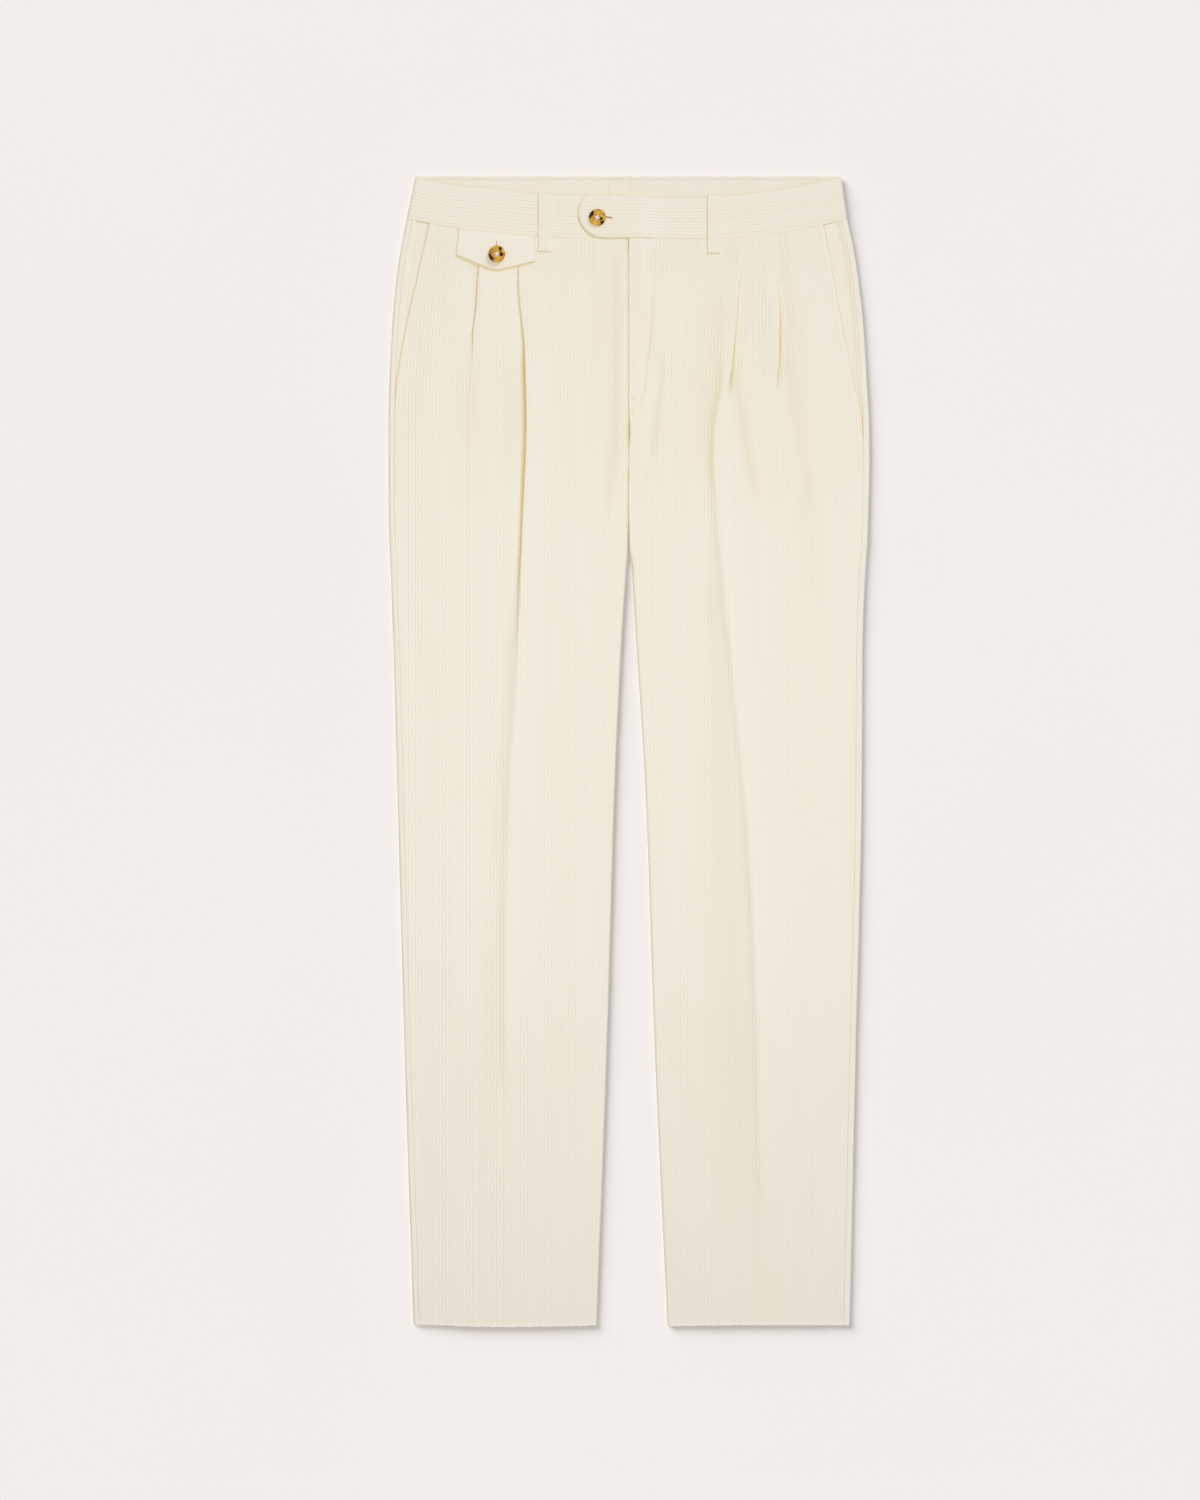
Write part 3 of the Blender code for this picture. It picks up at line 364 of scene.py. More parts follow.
# The horn's dark blotches: button, place from its centre, radius
Blotch = namedtuple("Blotch", "button across up radius")
BLOTCHES = (
    Blotch("waist", -6.0, 4.0, 3.3),
    Blotch("waist", -7.2, 1.0, 1.9),
    Blotch("waist", 3.4, -1.3, 2.3),
    Blotch("waist", 5.2, -5.4, 2.5),
    Blotch("waist", 3.6, -4.2, 1.4),
    Blotch("watch_pocket", -6.6, -1.8, 2.3),
    Blotch("watch_pocket", -5.2, -4.4, 2.6),
    Blotch("watch_pocket", 3.4, 5.0, 2.1),
    Blotch("watch_pocket", 4.2, -0.5, 2.3),
    Blotch("watch_pocket", 3.4, 2.4, 1.4),
)
BLOTCH_SOFT = 0.7  # width over which a blotch's edge fades
# A button's turned profile from the middle of its face down its rim and back: distance out and height,
# in radii. Its holes' distance and radius are in radii too.
BUTTON_PROFILE = ((0.0, 0.268), (0.3, 0.262), (0.5, 0.262), (0.58, 0.28), (0.66, 0.325), (0.76, 0.368),
                  (0.85, 0.375), (0.93, 0.345), (0.98, 0.28), (1.0, 0.2), (0.98, 0.12), (0.92, 0.05),
                  (0.8, 0.0), (0.0, 0.0))
BUTTON_SIDES = 72
BUTTON_HOLES = ((1, 1), (-1, 1), (-1, -1), (1, -1))
BUTTON_HOLE_STEP, BUTTON_HOLE = 0.19, 0.105
BUTTON_TURN = 0.5  # how far the holes are turned from square
# The button's threads: radius, half the distance between two that lie side by side in the button's radii,
# and their path from one hole to the next as share of the way and height in the button's radii
BUTTON_THREAD, BUTTON_THREADS_APART = 0.3, 0.04
BUTTON_THREAD_PATH = ((0, -0.1), (0, 0.27), (1 / 3, 0.32), (2 / 3, 0.32), (1, 0.27), (1, -0.1))
FACING_UNDER, FACING_SINK = 14.0, 1.6
FACING_TUCK = (3.3, 2.1)
FACING_FOOT = {"right": 872.0, "left": 842.0}
POCKET_GAPE = 0.35
OPEN_POCKET = 0.6  # a pocket that is wider than this has a free edge

# The fly: the line of its topstitching as (height, across), how far the cloth stands over the fly's
# facing, and the slit below its foot as heights and width
FLY_STITCHED = ((868.0, 1.0), (872.0, 6.5), (877.0, 11.5), (886.0, 14.4), (900.0, 15.8), (914.0, 17.4),
                (930.0, 19.6), (945.0, 21.2), (975.0, 23.0), (1010.0, 25.0), (1050.0, 26.4))
FLY_STITCH_TOP = 1044.0
FLY_FACING_RISE = 0.4
FLY_FACING_TOP, FLY_FACING_RUN, FLY_FACING_EDGE = 1040.0, 70.0, 2.5  # where it rises, and over how much
# Painted shade along the fly's line of stitches, and on the right front against the left one's edge
FLY_LINE_DEEP, FLY_LINE_TOP, FLY_LINE_RUN = 0.28, 1005.0, 50.0  # how dark its line of stitches is drawn in
FLY_EDGE_DEEP, FLY_EDGE_TOP, FLY_EDGE_RUN = 0.4, 1026.0, 10.0  # the right front against the left one's edge
SLIT_FOOT, SLIT_TOP, SLIT_WIDTH = 824.0, 876.0, 1.3

# Stitches: length, gap to the next, radius of the thread
Stitch = namedtuple("Stitch", "length gap radius")
FLY_STITCH = Stitch(2.6, 0.9, 0.16)
HEM_STITCH = Stitch(1.5, 4.96, 0.13)
# A stitch of a bar tack: share of the way over it, and how far it dips
TACK_STITCH = ((-1 / 2, 0.3), (-1 / 3, 0), (0, 0), (1 / 3, 0), (1 / 2, 0.3))
# A buttonhole's lips: radius of the thread, from one stitch to the next, half the slit's width, radius of
# its eye. A stitch runs over the lip through places that are this far out from the slit and up.
LIP_THREAD, LIP_STEP, LIP_SLIT, LIP_EYE = 0.17, 0.45, 0.35, 0.7
LIP_STITCH = ((0.0, -0.15), (0.2, 0.16), (0.8, 0.16), (1.1, -0.15))
# The dark between the lips is thread that paints the shade in the slit
SLIT_BROAD, SLIT_NARROW = 0.5, 0.22  # radii of the dark between the tab's and the flap's lips
# Each button's hole: where its middle is from the button's, its direction, and whether it has an eye
Buttonhole = namedtuple("Buttonhole", "across up way length eye")
BUTTONHOLES = {
    "waist": Buttonhole(6.0, 0.0, (1.0, -0.03), 14.0, True),
    "watch_pocket": Buttonhole(0.0, 5.0, (0.0, 1.0), 9.0, False),
}
# The fly's bar tack: where its middle is on the left front, along and over it, and its stitches
TACK_PLACE, TACK_ALONG, TACK_OVER, TACK_COUNT = (4.0, 880.0), (5.0, -2.0, 0.0), (0.4, 1.6, 0.0), 9

# Scales of the noise in the cloth, across and along its grain
FIBRES, TUFTS, MOTTLE = (2600.0, 700.0, 1.0), (900.0, 1500.0, 1.0), (22.0, 9.0, 1.0)

# The camera looks straight down; its place and the floor's sizes are in metres
LENS, SENSOR = 85.0, 36.0
CAMERA_PLACE = (-0.0276, 0.001, 1.425 * LENS / SENSOR)
CAMERA_REACH = 20.0
FLOOR_SIZE, FLOOR_DROP = 4.0, 0.0001

# Lights: what they shine on, the direction or place that they shine from, size in degrees for a sun and in
# metres for an area, colour, and whether they cast shadows
Light = namedtuple("Light", "kind lit place size colour shadow")
WHITE = (1.0, 1.0, 1.0)
LIGHTS = {
    "floor_sun": Light("SUN", "stage", (-1.0, 1.0, 0.75), 38.0, WHITE, True),
    "floor_glow": Light("SUN", "stage", (0.0, 0.0, 1.0), 5.0, WHITE, False),
    "key": Light("SUN", "trousers", (0.7, 1.0, 1.22), 16.0, (0.5, 0.69, 1.0), True),
    "fill": Light("AREA", "trousers", (0.0, 0.12, 2.05), 0.6, (1.0, 0.866, 0.677), False),
    "under_glow": Light("SUN", "trousers", (0.0, 0.0, -1.0), 5.0, (1.0, 0.97, 0.9), False),
    "button_key": Light("SUN", "buttons", (0.25, 0.55, 1.5), 14.0, WHITE, True),
    "button_fill": Light("SUN", "buttons", (-0.4, -0.3, 1.0), 30.0, (1.0, 0.95, 0.88), False),
}
UNDER_GLOW, BUTTON_KEY, BUTTON_FILL = 0.3, 1.6, 0.9  # their strengths

# How much the wales stand, against those of the legs
BAND_WALES, FLAP_WALES, BACK_LOOP_WALES = 1.5, 0.8, 0.3
WALE_FADE = 1.5  # how soon they rise again beside a fold

# How much a seam's painted shade counts, and how strong the painted light on the outermost line of each leg
# is
SEAM_DEEP = 0.3
ROLL_PAINTED_LIGHT = {"right": 0.2, "left": 0.8}

# The rounded rim of a wall's outer face: distance in from its edge in radii, share of its thickness
RIM = ((0.0, 0.0), (0.13, 0.5), (0.5, 0.87))
RIM_STEPS, RIM_FULL = np.array(RIM).T
# Fineness: columns across a wale, steps round a pleat's fold, the inseam's turned edge and a side's roll,
# columns along a front band, rows up the back band, and how many columns an inner face leaves out
COLUMNS_PER_WALE = 6
FOLD_STEPS, END_STEPS, ROLL_STEPS = 6, 5, 14
BAND_COLUMNS, BACK_BAND_ROWS = 90, 72
INNER_STRIDE = 12
GRAIN_PLACES = np.arange(-14.0, 236.0, 0.5)  # across, wider than any front

# The flat cut of each piece of cloth: width and length in metres, and area in square metres
Cut = namedtuple("Cut", "width length area rests_on")


def colour_property(name, description, default):
    """A colour that the user can change."""
    return FloatVectorProperty(name=name, description=description, default=default, subtype="COLOR", size=3,
                               min=0.0, max=1.0)


def strength_property(name, description, default, unit="NONE"):
    """A strength that the user can change."""
    return FloatProperty(name=name, description=description, default=default, min=0.0, unit=unit)


class TrousersCloth(PropertyGroup):
    """Sizes and colours of the cloth and thread."""

    pitch: FloatProperty(name="Wale pitch", description="Distance from one wale to the next",
                         default=0.00323, min=0.001, unit="LENGTH")
    rise: FloatProperty(name="Wale rise", description="How far the wales stand over the grooves",
                        default=0.00033, min=0.0, unit="LENGTH")
    pile: colour_property("Pile", "Colour of the wales", (0.82, 0.77, 0.65))
    # Colour of the base weave between the wales, also painted as shade in the grooves, down in folds and
    # against edges
    ground_and_shade: colour_property("Ground", "Colour between the wales and deep in folds", (0.66, 0.54, 0.275))
    # Painted shadow where it is darkest: in the fly's slit and at its edge, on the line where the fronts meet
    # and at the flap's rim
    hollow_shadow: colour_property("Hollow", "Colour far down between two layers", (0.27, 0.14, 0.045))
    shade: colour_property("Shade", "Colour of the falling side of a crease", (0.62, 0.595, 0.405))
    # Painted light: the pale rims of the hem and the legs' rolled sides, the pocket edges, the flap's middle
    # and the lit side of creases
    painted_light: colour_property("Rubbed", "Colour of the pile along edges", (0.89, 0.865, 0.79))
    twill: colour_property("Twill", "Colour of the inner waistband", (0.80, 0.745, 0.625))
    thread: colour_property("Thread", "Colour of the sewing", (0.80, 0.73, 0.58))
    button_thread: colour_property("Button thread", "Colour of the thread in the buttons", (0.95, 0.93, 0.88))
    # Colour of the dark thread that paints the shade in each buttonhole's slit
    slit: colour_property("Slit", "Colour down in a buttonhole", (0.40, 0.23, 0.05))


class TrousersButtons(PropertyGroup):
    """Size and colours of the buttons."""

    diameter: FloatProperty(name="Diameter", description="Diameter of both buttons", default=0.016,
                            min=0.005, unit="LENGTH")
    amber: colour_property("Amber", "Light part of the horn", (0.70, 0.43, 0.075))
    blotch: colour_property("Blotch", "Dark part of the horn", (0.05, 0.009, 0.003))


class TrousersStage(PropertyGroup):
    """The floor and the lights."""

    floor: colour_property("Floor", "Colour of the floor", (0.80, 0.764, 0.742))
    floor_sun: strength_property("Floor sun", "Strength of the light that shades the floor", 3.4)
    floor_glow: strength_property("Floor glow", "Strength of the floor's even light", 0.69)
    key: strength_property("Key light", "Strength of the slanting light on the cloth", 1.42)
    fill: strength_property("Fill light", "Power of the even warm light on the cloth", 22.3, "POWER")
    sky: strength_property("Sky", "Strength of the light from all sides", 0.4)


def ease(x):
    """0 below 0, 1 above 1, smooth between."""
    x = np.clip(x, 0.0, 1.0)
    return x * x * (3 - 2 * x)


def bell(offset, width):
    """1 on a line, dying away on both sides of it."""
    return np.exp(-((offset / width) ** 2))


def fade(offset, width):
    """1 up to a line, dying away beyond it."""
    return np.exp(-np.maximum(offset, 0.0) / width)


def hermite(xs, ys, slopes, at):
    """A cubic curve through points, with a given slope at each."""
    i = np.clip(np.searchsorted(xs, at) - 1, 0, len(xs) - 2)
    step = xs[i + 1] - xs[i]
    t = (at - xs[i]) / step
    return (
        ys[i] * (1 + 2 * t) * (1 - t) ** 2
        + slopes[i] * step * t * (1 - t) ** 2
        + ys[i + 1] * t * t * (3 - 2 * t)
        + slopes[i + 1] * step * t * t * (t - 1)
    )


def curve(points, across):
    """The height of a curve of (across, height) points, rounded between them."""
    xs, ys = np.array(points, float).T
    return hermite(xs, ys, np.gradient(ys, xs), np.clip(across, xs[0], xs[-1]))


def steady(points, at):
    """A smooth curve through (x, y) points that never overshoots them."""
    xs, ys = np.array(sorted(points), float).T
    slope = np.diff(ys) / np.diff(xs)
    before, after = slope[:-1], slope[1:]
    same = before * after > 0
    middle = np.where(same, 2 * before * after / np.where(same, before + after, 1.0), 0.0)
    slopes = np.concatenate([slope[:1], middle, slope[-1:]])
    return hermite(xs, ys, slopes, np.clip(at, xs[0], xs[-1]))


def read(table, column, height):
    """A column of a table of rows that run down the leg, at any height."""
    return float(steady([(row.height, getattr(row, column)) for row in table], height))


def travelled(*parts):
    """The distance along a path at each of its points; its coordinates are given one by one."""
    return np.concatenate([[0.0], np.cumsum(np.linalg.norm([np.diff(part) for part in parts], axis=0))])


def between(table, at):
    """A place between the rows of a table of pairs, joined by straight lines."""
    return np.interp(at, *zip(*table))


def place_y(height):
    return height - LENGTH / 2


def lift(height):
    """How far all layers rise towards the waistband."""
    return BAND_LIFT * ease((height - LIFT_START) / LIFT_RUN)


def lines_at(rows, side, height):
    """The rows of a table whose lines pass a height, each with its place there and how fully it shows."""
    for row in rows:
        top, foot = row.line[0][0], row.line[-1][0]
        if row.side == side and foot <= height <= top:
            ends = ease((top - height) / row.fade)
            if foot > 0:
                ends = ends * ease((height - foot) / row.fade)
            yield row, float(steady(row.line, height)), ends


def relief(creases, side, across, height):
    """The height that the creases of one leg add at a place."""
    total = np.zeros_like(across)
    for crease, place, ends in lines_at(creases, side, height):
        offset = across - place
        width = np.where(offset > 0, crease.outer, crease.inner)
        total += crease.rise * ends * bell(offset, width)
    return total


def tone(side, across, height):
    """How much a row is shaded, or below nothing how pale it is, beside the lines of TONES."""
    total = np.zeros_like(across)
    for row, place, ends in lines_at(TONES, side, height):
        offset = across - place
        turned = ease(offset / 1.4 + 0.5)
        outer = row.outer * np.exp(-np.abs(offset) / row.outer_width)
        inner = row.inner * np.exp(-np.abs(offset) / row.inner_width)
        total += ends * (outer * turned + inner * (1 - turned))
    return total


def shade(side, across, height):
    """How grey a row is beside the legs' creases."""
    total = np.zeros_like(across)
    for row in SHADES:
        heights, *columns = np.array(row.rows[::-1], float).T
        if row.side == side and heights[0] <= height <= heights[-1]:
            place, depth, outer, inner = (np.interp(height, heights, column) for column in columns)
            offset = across - place
            total += depth * np.exp(-((offset / np.where(offset > 0, outer, inner)) ** 4))
    return total


def shown(side, name, height):
    """How dark the shade painted on a pleat's fold is at a height, and how wide the painted shadow beside it.
    """
    heights, shares, widths = np.array(SHOWN[side, name]).T
    return float(np.interp(height, heights, shares)), float(np.interp(height, heights, widths))


def swell(side, across, height):
    """Slow unevenness of cloth that lies loose."""
    turn = 1.7 if side == "left" else 0.0
    total = np.zeros_like(across)
    for wave in SWELLS:
        phase = 2 * math.pi * height / wave.along + wave.shift + turn
        ripple = np.sin(2 * math.pi * across / wave.across + 1.3 * math.sin(phase))
        total += wave.rise * ripple * math.cos(phase)
    return total


def slit(height):
    """How far the left front's edge draws back below the fly's foot."""
    middle = (SLIT_FOOT + SLIT_TOP) / 2 - 2
    return SLIT_WIDTH * float(ease((height - SLIT_FOOT) / (middle - SLIT_FOOT))
                              * ease((SLIT_TOP - height) / (SLIT_TOP - middle)))


def fold(row, side_edge, under_level):
    """The S of one pleat, as (depth, level) points of the wall's middle."""
    turn = math.radians(row.turn)
    place = side_edge - row.across
    bend = row.bend
    start = place - bend * math.sin(turn) - row.tuck * math.cos(turn)
    if row.turn > 90:
        start += bend * (1 - math.sin(turn))
    angles = np.linspace(0.0, turn, FOLD_STEPS + 1)
    under = np.stack([start + bend * np.sin(angles), under_level + bend * (1 - np.cos(angles))], 1)
    between = max(row.tuck, SHORTEST_TUCK) * np.array([math.cos(turn), math.sin(turn)])
    back = angles[::-1]
    over = bend * np.stack([math.sin(turn) - np.sin(back), np.cos(back) - math.cos(turn)], 1)
    return np.concatenate([under, under[-1] + between + over])


def inseam_turn(height, width):
    """The front's inner edge, which turns down onto the back below the crotch.

    Gives where its flat cloth ends, the (depth, level) path from there with its rim, and how far it turns."""
    curl = math.radians(90) * float(ease((CROTCH - height) / INSEAM_TURN_RUN))
    if curl < 1e-3:
        steps = [(INSEAM_BEND * i / END_STEPS, 0.0) for i in range(1, END_STEPS + 1)]
        steps.append((steps[-1][0] + SHORTEST_TUCK, 0.0))
        return width - steps[-1][0], rimmed_steps(steps), curl
    radius = INSEAM_BEND / curl
    steps = []
    for i in range(1, END_STEPS + 1):
        angle = curl * i / END_STEPS
        steps.append((radius * math.sin(angle), -radius * (1 - math.cos(angle))))
    clear = FRONT_LEVEL - CLOTH - SEAM_GAP - 0.05
    tail = (clear + steps[-1][1]) * math.sin(curl) + SHORTEST_TUCK * math.cos(curl)
    steps.append((steps[-1][0] + tail * math.cos(curl), steps[-1][1] - tail * math.sin(curl)))
    return width - steps[-1][0] - CLOTH / 2 * math.sin(curl), rimmed_steps(steps), curl


def rimmed_steps(steps):
    """The steps of a path whose last one is cut into those of a rounded rim."""
    steps = np.array(steps)
    radius = CLOTH / 2
    way = steps[-1] - steps[-2]
    length = np.hypot(*way)
    tip = steps[-1] - np.outer(RIM_STEPS[::-1], way / length) * radius
    path = np.array([*steps[:-1], *tip])
    if length < radius:
        path[:END_STEPS] *= 1 - 0.3 / steps[-1][0]
    return path


def wale_pitch():
    """The distance from one wale to the next in millimetres."""
    return bpy.context.scene.trousers_cloth.pitch / MM


def wale_rise():
    """How far the wales stand over the grooves in millimetres."""
    return bpy.context.scene.trousers_cloth.rise / MM


def wale_columns(low, high):
    """Places of columns across a panel, from high to low, with a groove on every sixth one."""
    step = wale_pitch() / COLUMNS_PER_WALE
    return np.arange(math.ceil(high / step), math.floor(low / step) - 1, -1) * step


def front_zones(side):
    """The grain's columns over a front's three flat zones: wide enough for every row."""
    second = [row.across for row in PLEATS[side, "second"]]
    main = [row.across for row in PLEATS[side, "main"]]
    widest = max(row.edge for row in LEGS[side])
    return (
        wale_columns(min(second) - 3, widest + 22),
        wale_columns(min(main) - 3, max(second) + 3),
        wale_columns(-FLY_UNDERLAP - 3, max(main) + 3),
    )


def grain_map(side, zone, height, pleats):
    """Places across a zone and the grain that lies at each, as two rising arrays."""
    across = GRAIN_PLACES
    lean = LEANS[side][zone]
    shift = lean.shift * max(0.0, (height - lean.foot) / (WAIST - lean.foot)) ** 2 * np.ones_like(across)
    if zone == 2:
        shift = shift * ease(across / CENTRE_LEAN_RUN)
    for row, folded in pleats:
        shift = shift * (1 - (1 - folded) * bell(across - row.across, 9.0))
    return across, across - shift


def crest_near(grain):
    """The middle of the wale that a place in the cloth belongs to."""
    pitch = wale_pitch()
    return (np.floor(grain / pitch) + 0.5) * pitch


def front_edges(side, height):
    """Where a row of a front ends at the side and at the centre, and how far its pocket stands open."""
    edge, inner, outline = (read(LEGS[side], field, height) for field in ("edge", "inner", "outline"))
    if side == "left":
        inner += slit(height)
    elif height > CROTCH:
        inner -= RIGHT_DRAWN + FLY_UNDERLAP * float(ease((height - FLY_FOOT) / FLY_FOOT_RUN))
    return edge, inner, outline - SEAM_INSET - edge


def pleated_row(side, height, edge, width, opening, zones):
    """A row of a front laid in its pleats: depth from its edge, level, full, ridge, painted shade and light,
    and grain.
    """
    stands_open = opening > OPEN_POCKET
    end, end_path, curl = inseam_turn(height, width)
    pleats = []
    for name in PLEAT_NAMES:
        row = Pleat(height, *(read(PLEATS[side, name], field, height) for field in Pleat._fields[1:]))
        pleats.append((row, float(ease((row.turn - 50) / 50))))
    maps = [grain_map(side, zone, height, pleats) for zone in range(3)]
    parts = []
    carried_from, carried = 0.0, 0.0
    start, folded_before = CLOTH / 2 if stands_open else SEAM_EDGE, 0.0

    def add(depths, levels, zone, full=1.0, ridge=1.0, deep=0.0, crest=0.0):
        grain = np.interp(edge - depths, *maps[zone])
        grain = grain + crest * (crest_near(grain[-1]) - grain)
        parts.append(np.stack(np.broadcast_arrays(depths, levels, full, ridge, deep, grain)))

    def level_at(depths, place=0.0, dip=0.0):
        fallen = ease((depths - carried_from) / PLEAT_FALL)
        sunk = ease((depths - place + PLEAT_REACH) / PLEAT_REACH)
        return FRONT_LEVEL + carried * (1 - fallen) - dip * sunk

    def columns_to(last, zone):
        columns = edge - np.interp(zones[zone], maps[zone][1], maps[zone][0])
        columns = np.concatenate([[start], np.clip(columns, start, last), [last]])
        return columns, 1 - folded_before * (1 - ease((columns - start) / WALE_FADE))

    for zone, (row, folded) in enumerate(pleats):
        place = edge - row.across
        shape = fold(row, edge, 0.0)
        dip = PLEAT_DIP * shape[-1][1]
        if zone == 0:
            rim = RIM_STEPS * start
            add(rim, level_at(rim, place, dip), 0, full=RIM_FULL if stands_open else sewn_share(RIM_FULL))
        columns, head = columns_to(min(place - 0.3, shape[0][0] - 0.4), zone)
        # Painted shade on the fold, and a painted shadow on the cloth beside it
        darkness, wide = shown(side, PLEAT_NAMES[zone], height)
        beside = np.maximum(place - CLOTH / 2 - columns, 0.0)
        near = 0.8 * darkness * (1 - ease((beside - 0.6 * wide) / (0.6 + 0.6 * wide)))
        tail = 1 - folded * (1 - ease((place - columns) / WALE_FADE))
        add(columns, level_at(columns, place, dip), zone, ridge=tail * head, deep=near)
        under_level = float(level_at(place + PLEAT_FALL, place, dip))
        if row.turn > 90:
            parts[-1][1, -1] = under_level
        level = under_level + shape[:, 1]
        half = FOLD_STEPS + 1
        crest = folded * float(ease(2 * darkness))
        add(shape[:half, 0], level[:half], zone, ridge=1 - folded, deep=darkness, crest=crest)
        add(shape[half:, 0], level[half:], zone + 1, ridge=1 - folded,
            deep=np.linspace(1, 0, half) * darkness, crest=crest)
        carried = level[-1] - FRONT_LEVEL
        carried_from = max(shape[0][0] + row.bend + 1.5, shape[-1][0])
        start, folded_before = shape[-1][0] + 0.4, folded
    columns, head = columns_to(end, 2)
    add(columns, level_at(columns), 2, ridge=head)
    end_level = parts[-1][1, -1]
    end_full = np.concatenate([np.ones(END_STEPS), RIM_FULL[::-1]])
    flattened = 1 - 0.6 * float(ease(curl))
    add(end + end_path[:, 0], end_level + end_path[:, 1], 2, full=end_full, ridge=flattened)
    return np.concatenate(parts, 1)


def over_fly(height, across, level, deep):
    """The left front's level and painted shade at the fly: it steps up onto the right one and the fly's
    facing.
    """
    if height > FLY_STEP_FOOT:
        step = FLY_STEP * float(ease((height - FLY_STEP_FOOT) / FLY_STEP_RISE))
        level = level + step * (1 - ease((across - BAND_UNDERLAP) / FLY_STEP_RUN))
    if height > FLY_STITCHED[0][0]:
        offset = float(steady(FLY_STITCHED, height)) - across
        rise = FLY_FACING_RISE * float(ease((FLY_FACING_TOP - height) / FLY_FACING_RUN))
        level = level + rise * ease(offset / FLY_FACING_EDGE + 0.5)
        # Painted shade along the line of stitching
        drawn_in = FLY_LINE_DEEP * float(ease((FLY_LINE_TOP - height) / FLY_LINE_RUN))
        deep = deep + drawn_in * bell(offset, 1.0)
    return level, deep


def under_fly(height, across, inner, deep):
    """The painted shadow on the right front at the fly: in the slit, and where it meets the left one."""
    if height > SLIT_FOOT:
        top = float(ease((height - FLY_EDGE_TOP) / FLY_EDGE_RUN))
        shaded = FLY_EDGE_DEEP + slit(height) / SLIT_WIDTH + top
        deep = np.maximum(deep, fade(across - 0.5, 0.8) * shaded)
    return np.maximum(deep, between(MEETING, height) * fade(across - inner - 0.6, 0.5))


def front_section(side, height, zones):
    """One row of a front from the side to the centre, as columns of an array.

    across and level are of the wall's middle; full is the share of its thickness, ridge that of its
    wales' rise; the next marks places down in a fold or against an edge, where shade is painted, and below
    nothing light painted on pale edges; grain is the place in the cloth."""
    edge, inner, opening = front_edges(side, height)
    width = edge - inner
    depth, level, full, ridge, deep, grain = pleated_row(side, height, edge, width, opening, zones)
    across = edge - depth
    open_share = float(ease(opening / 4))
    loose = ease(depth / EDGE_STILL) * ease((width - depth) / EDGE_STILL)
    soft = relief(CREASES, side, across, height) + swell(side, across, height)
    puff = PILLOW * ease(depth / PILLOW_EDGE) * ease((width - depth) / PILLOW_EDGE)
    gape = POCKET_GAPE * open_share * bell(depth, 6.0)
    level = level + puff + gape + soft * loose + lift(height)
    # A painted highlight along the front's edge where the pocket stands open
    deep = deep - 0.3 * open_share * bell(depth - 1.2, 1.6)
    if side == "left":
        level, deep = over_fly(height, across, level, deep)
    else:
        deep = under_fly(height, across, inner, deep)
        if height > FLY_FOOT:
            ridge = np.where(across < 0.0, 0.0, ridge)
    # Painted light and shade beside the legs' folds and creases
    deep = deep + tone(side, across, height) * ease((width - depth) / 4)
    return across, level, full, ridge, np.clip(deep, -1, 2), grain


@functools.lru_cache(maxsize=None)
def top_of_front(side, height):
    """The middle line of a front's row, kept for laying things on it."""
    across, level, *_ = front_section(side, height, front_zones(side))
    return across, level


def front_top(side, places, height):
    """The level of the uppermost face of a front at each place."""
    across, level = top_of_front(side, height)
    low, high = np.minimum(across[:-1], across[1:]), np.maximum(across[:-1], across[1:])
    places = np.atleast_1d(places)[:, None]
    run = across[1:] - across[:-1]
    share = (places - across[:-1]) / np.where(run == 0, 1.0, run)
    found = level[:-1] + share * (level[1:] - level[:-1])
    found = np.where((low <= places) & (places <= high), found, -1e9)
    return found.max(1) + CLOTH / 2 + WALE_SPACE


def sewn_share(share):
    """The share of a wall's thickness where its rim is sewn to the next piece, and rounds off less."""
    return 0.65 + 0.35 * share


def section_normals(across, level):
    """Unit normals of a section, where some points may share a place."""
    apart = np.concatenate([[True], np.hypot(np.diff(across), np.diff(level)) > 1e-6])
    run, climb = np.gradient(-across[apart]), np.gradient(level[apart])
    size = np.hypot(run, climb)
    found = np.stack([-climb / size, run / size])
    return found[:, np.cumsum(apart) - 1]


def moved(sign, across, y, level, normal, distance):
    """The places of a row, moved out along its normals."""
    return np.stack([sign * (across - normal[0] * distance), y, level + normal[1] * distance], 1)


def seam_bend(height):
    """How much a row follows the waist seam, from 0 where rows lie straight to 1 at the top one."""
    return ease((height - SEAM_BEND_START) / (WAIST - SEAM_BEND_START))


def seam_y(sign, across, height):
    """Where a row lies: rows bend upwards until the top one follows the waist seam."""
    return place_y(height + (curve(WAIST_SEAM, sign * across) - SEWN - WAIST) * seam_bend(height))


def ridges(across):
    """The wales' profile over places across the grain: broad crests and narrow grooves, from 0 to 1."""
    return np.abs(np.sin(math.pi * across / wale_pitch())) ** 0.6


def wale_offset(across, share):
    """How far the wales carry a wall's outer face out, in the room that they have."""
    return share * (WALE_SPACE - wale_rise() * (1 - ridges(across)))


def rimmed(first, last, count, radius, last_radius=None):
    """Stations from first to last with a rounded rim at both ends, and their shares of the thickness."""
    last_radius = radius if last_radius is None else last_radius
    sign = 1 if last > first else -1
    first_full = sewn_share(RIM_FULL) if radius == SEAM_EDGE else RIM_FULL
    last_full = sewn_share(RIM_FULL) if last_radius == SEAM_EDGE else RIM_FULL
    places = np.concatenate([
        first + sign * RIM_STEPS * radius,
        np.linspace(first + sign * radius, last - sign * last_radius, count),
        last - sign * RIM_STEPS[::-1] * last_radius,
    ])
    return places, np.concatenate([first_full, np.ones(count), last_full[::-1]])


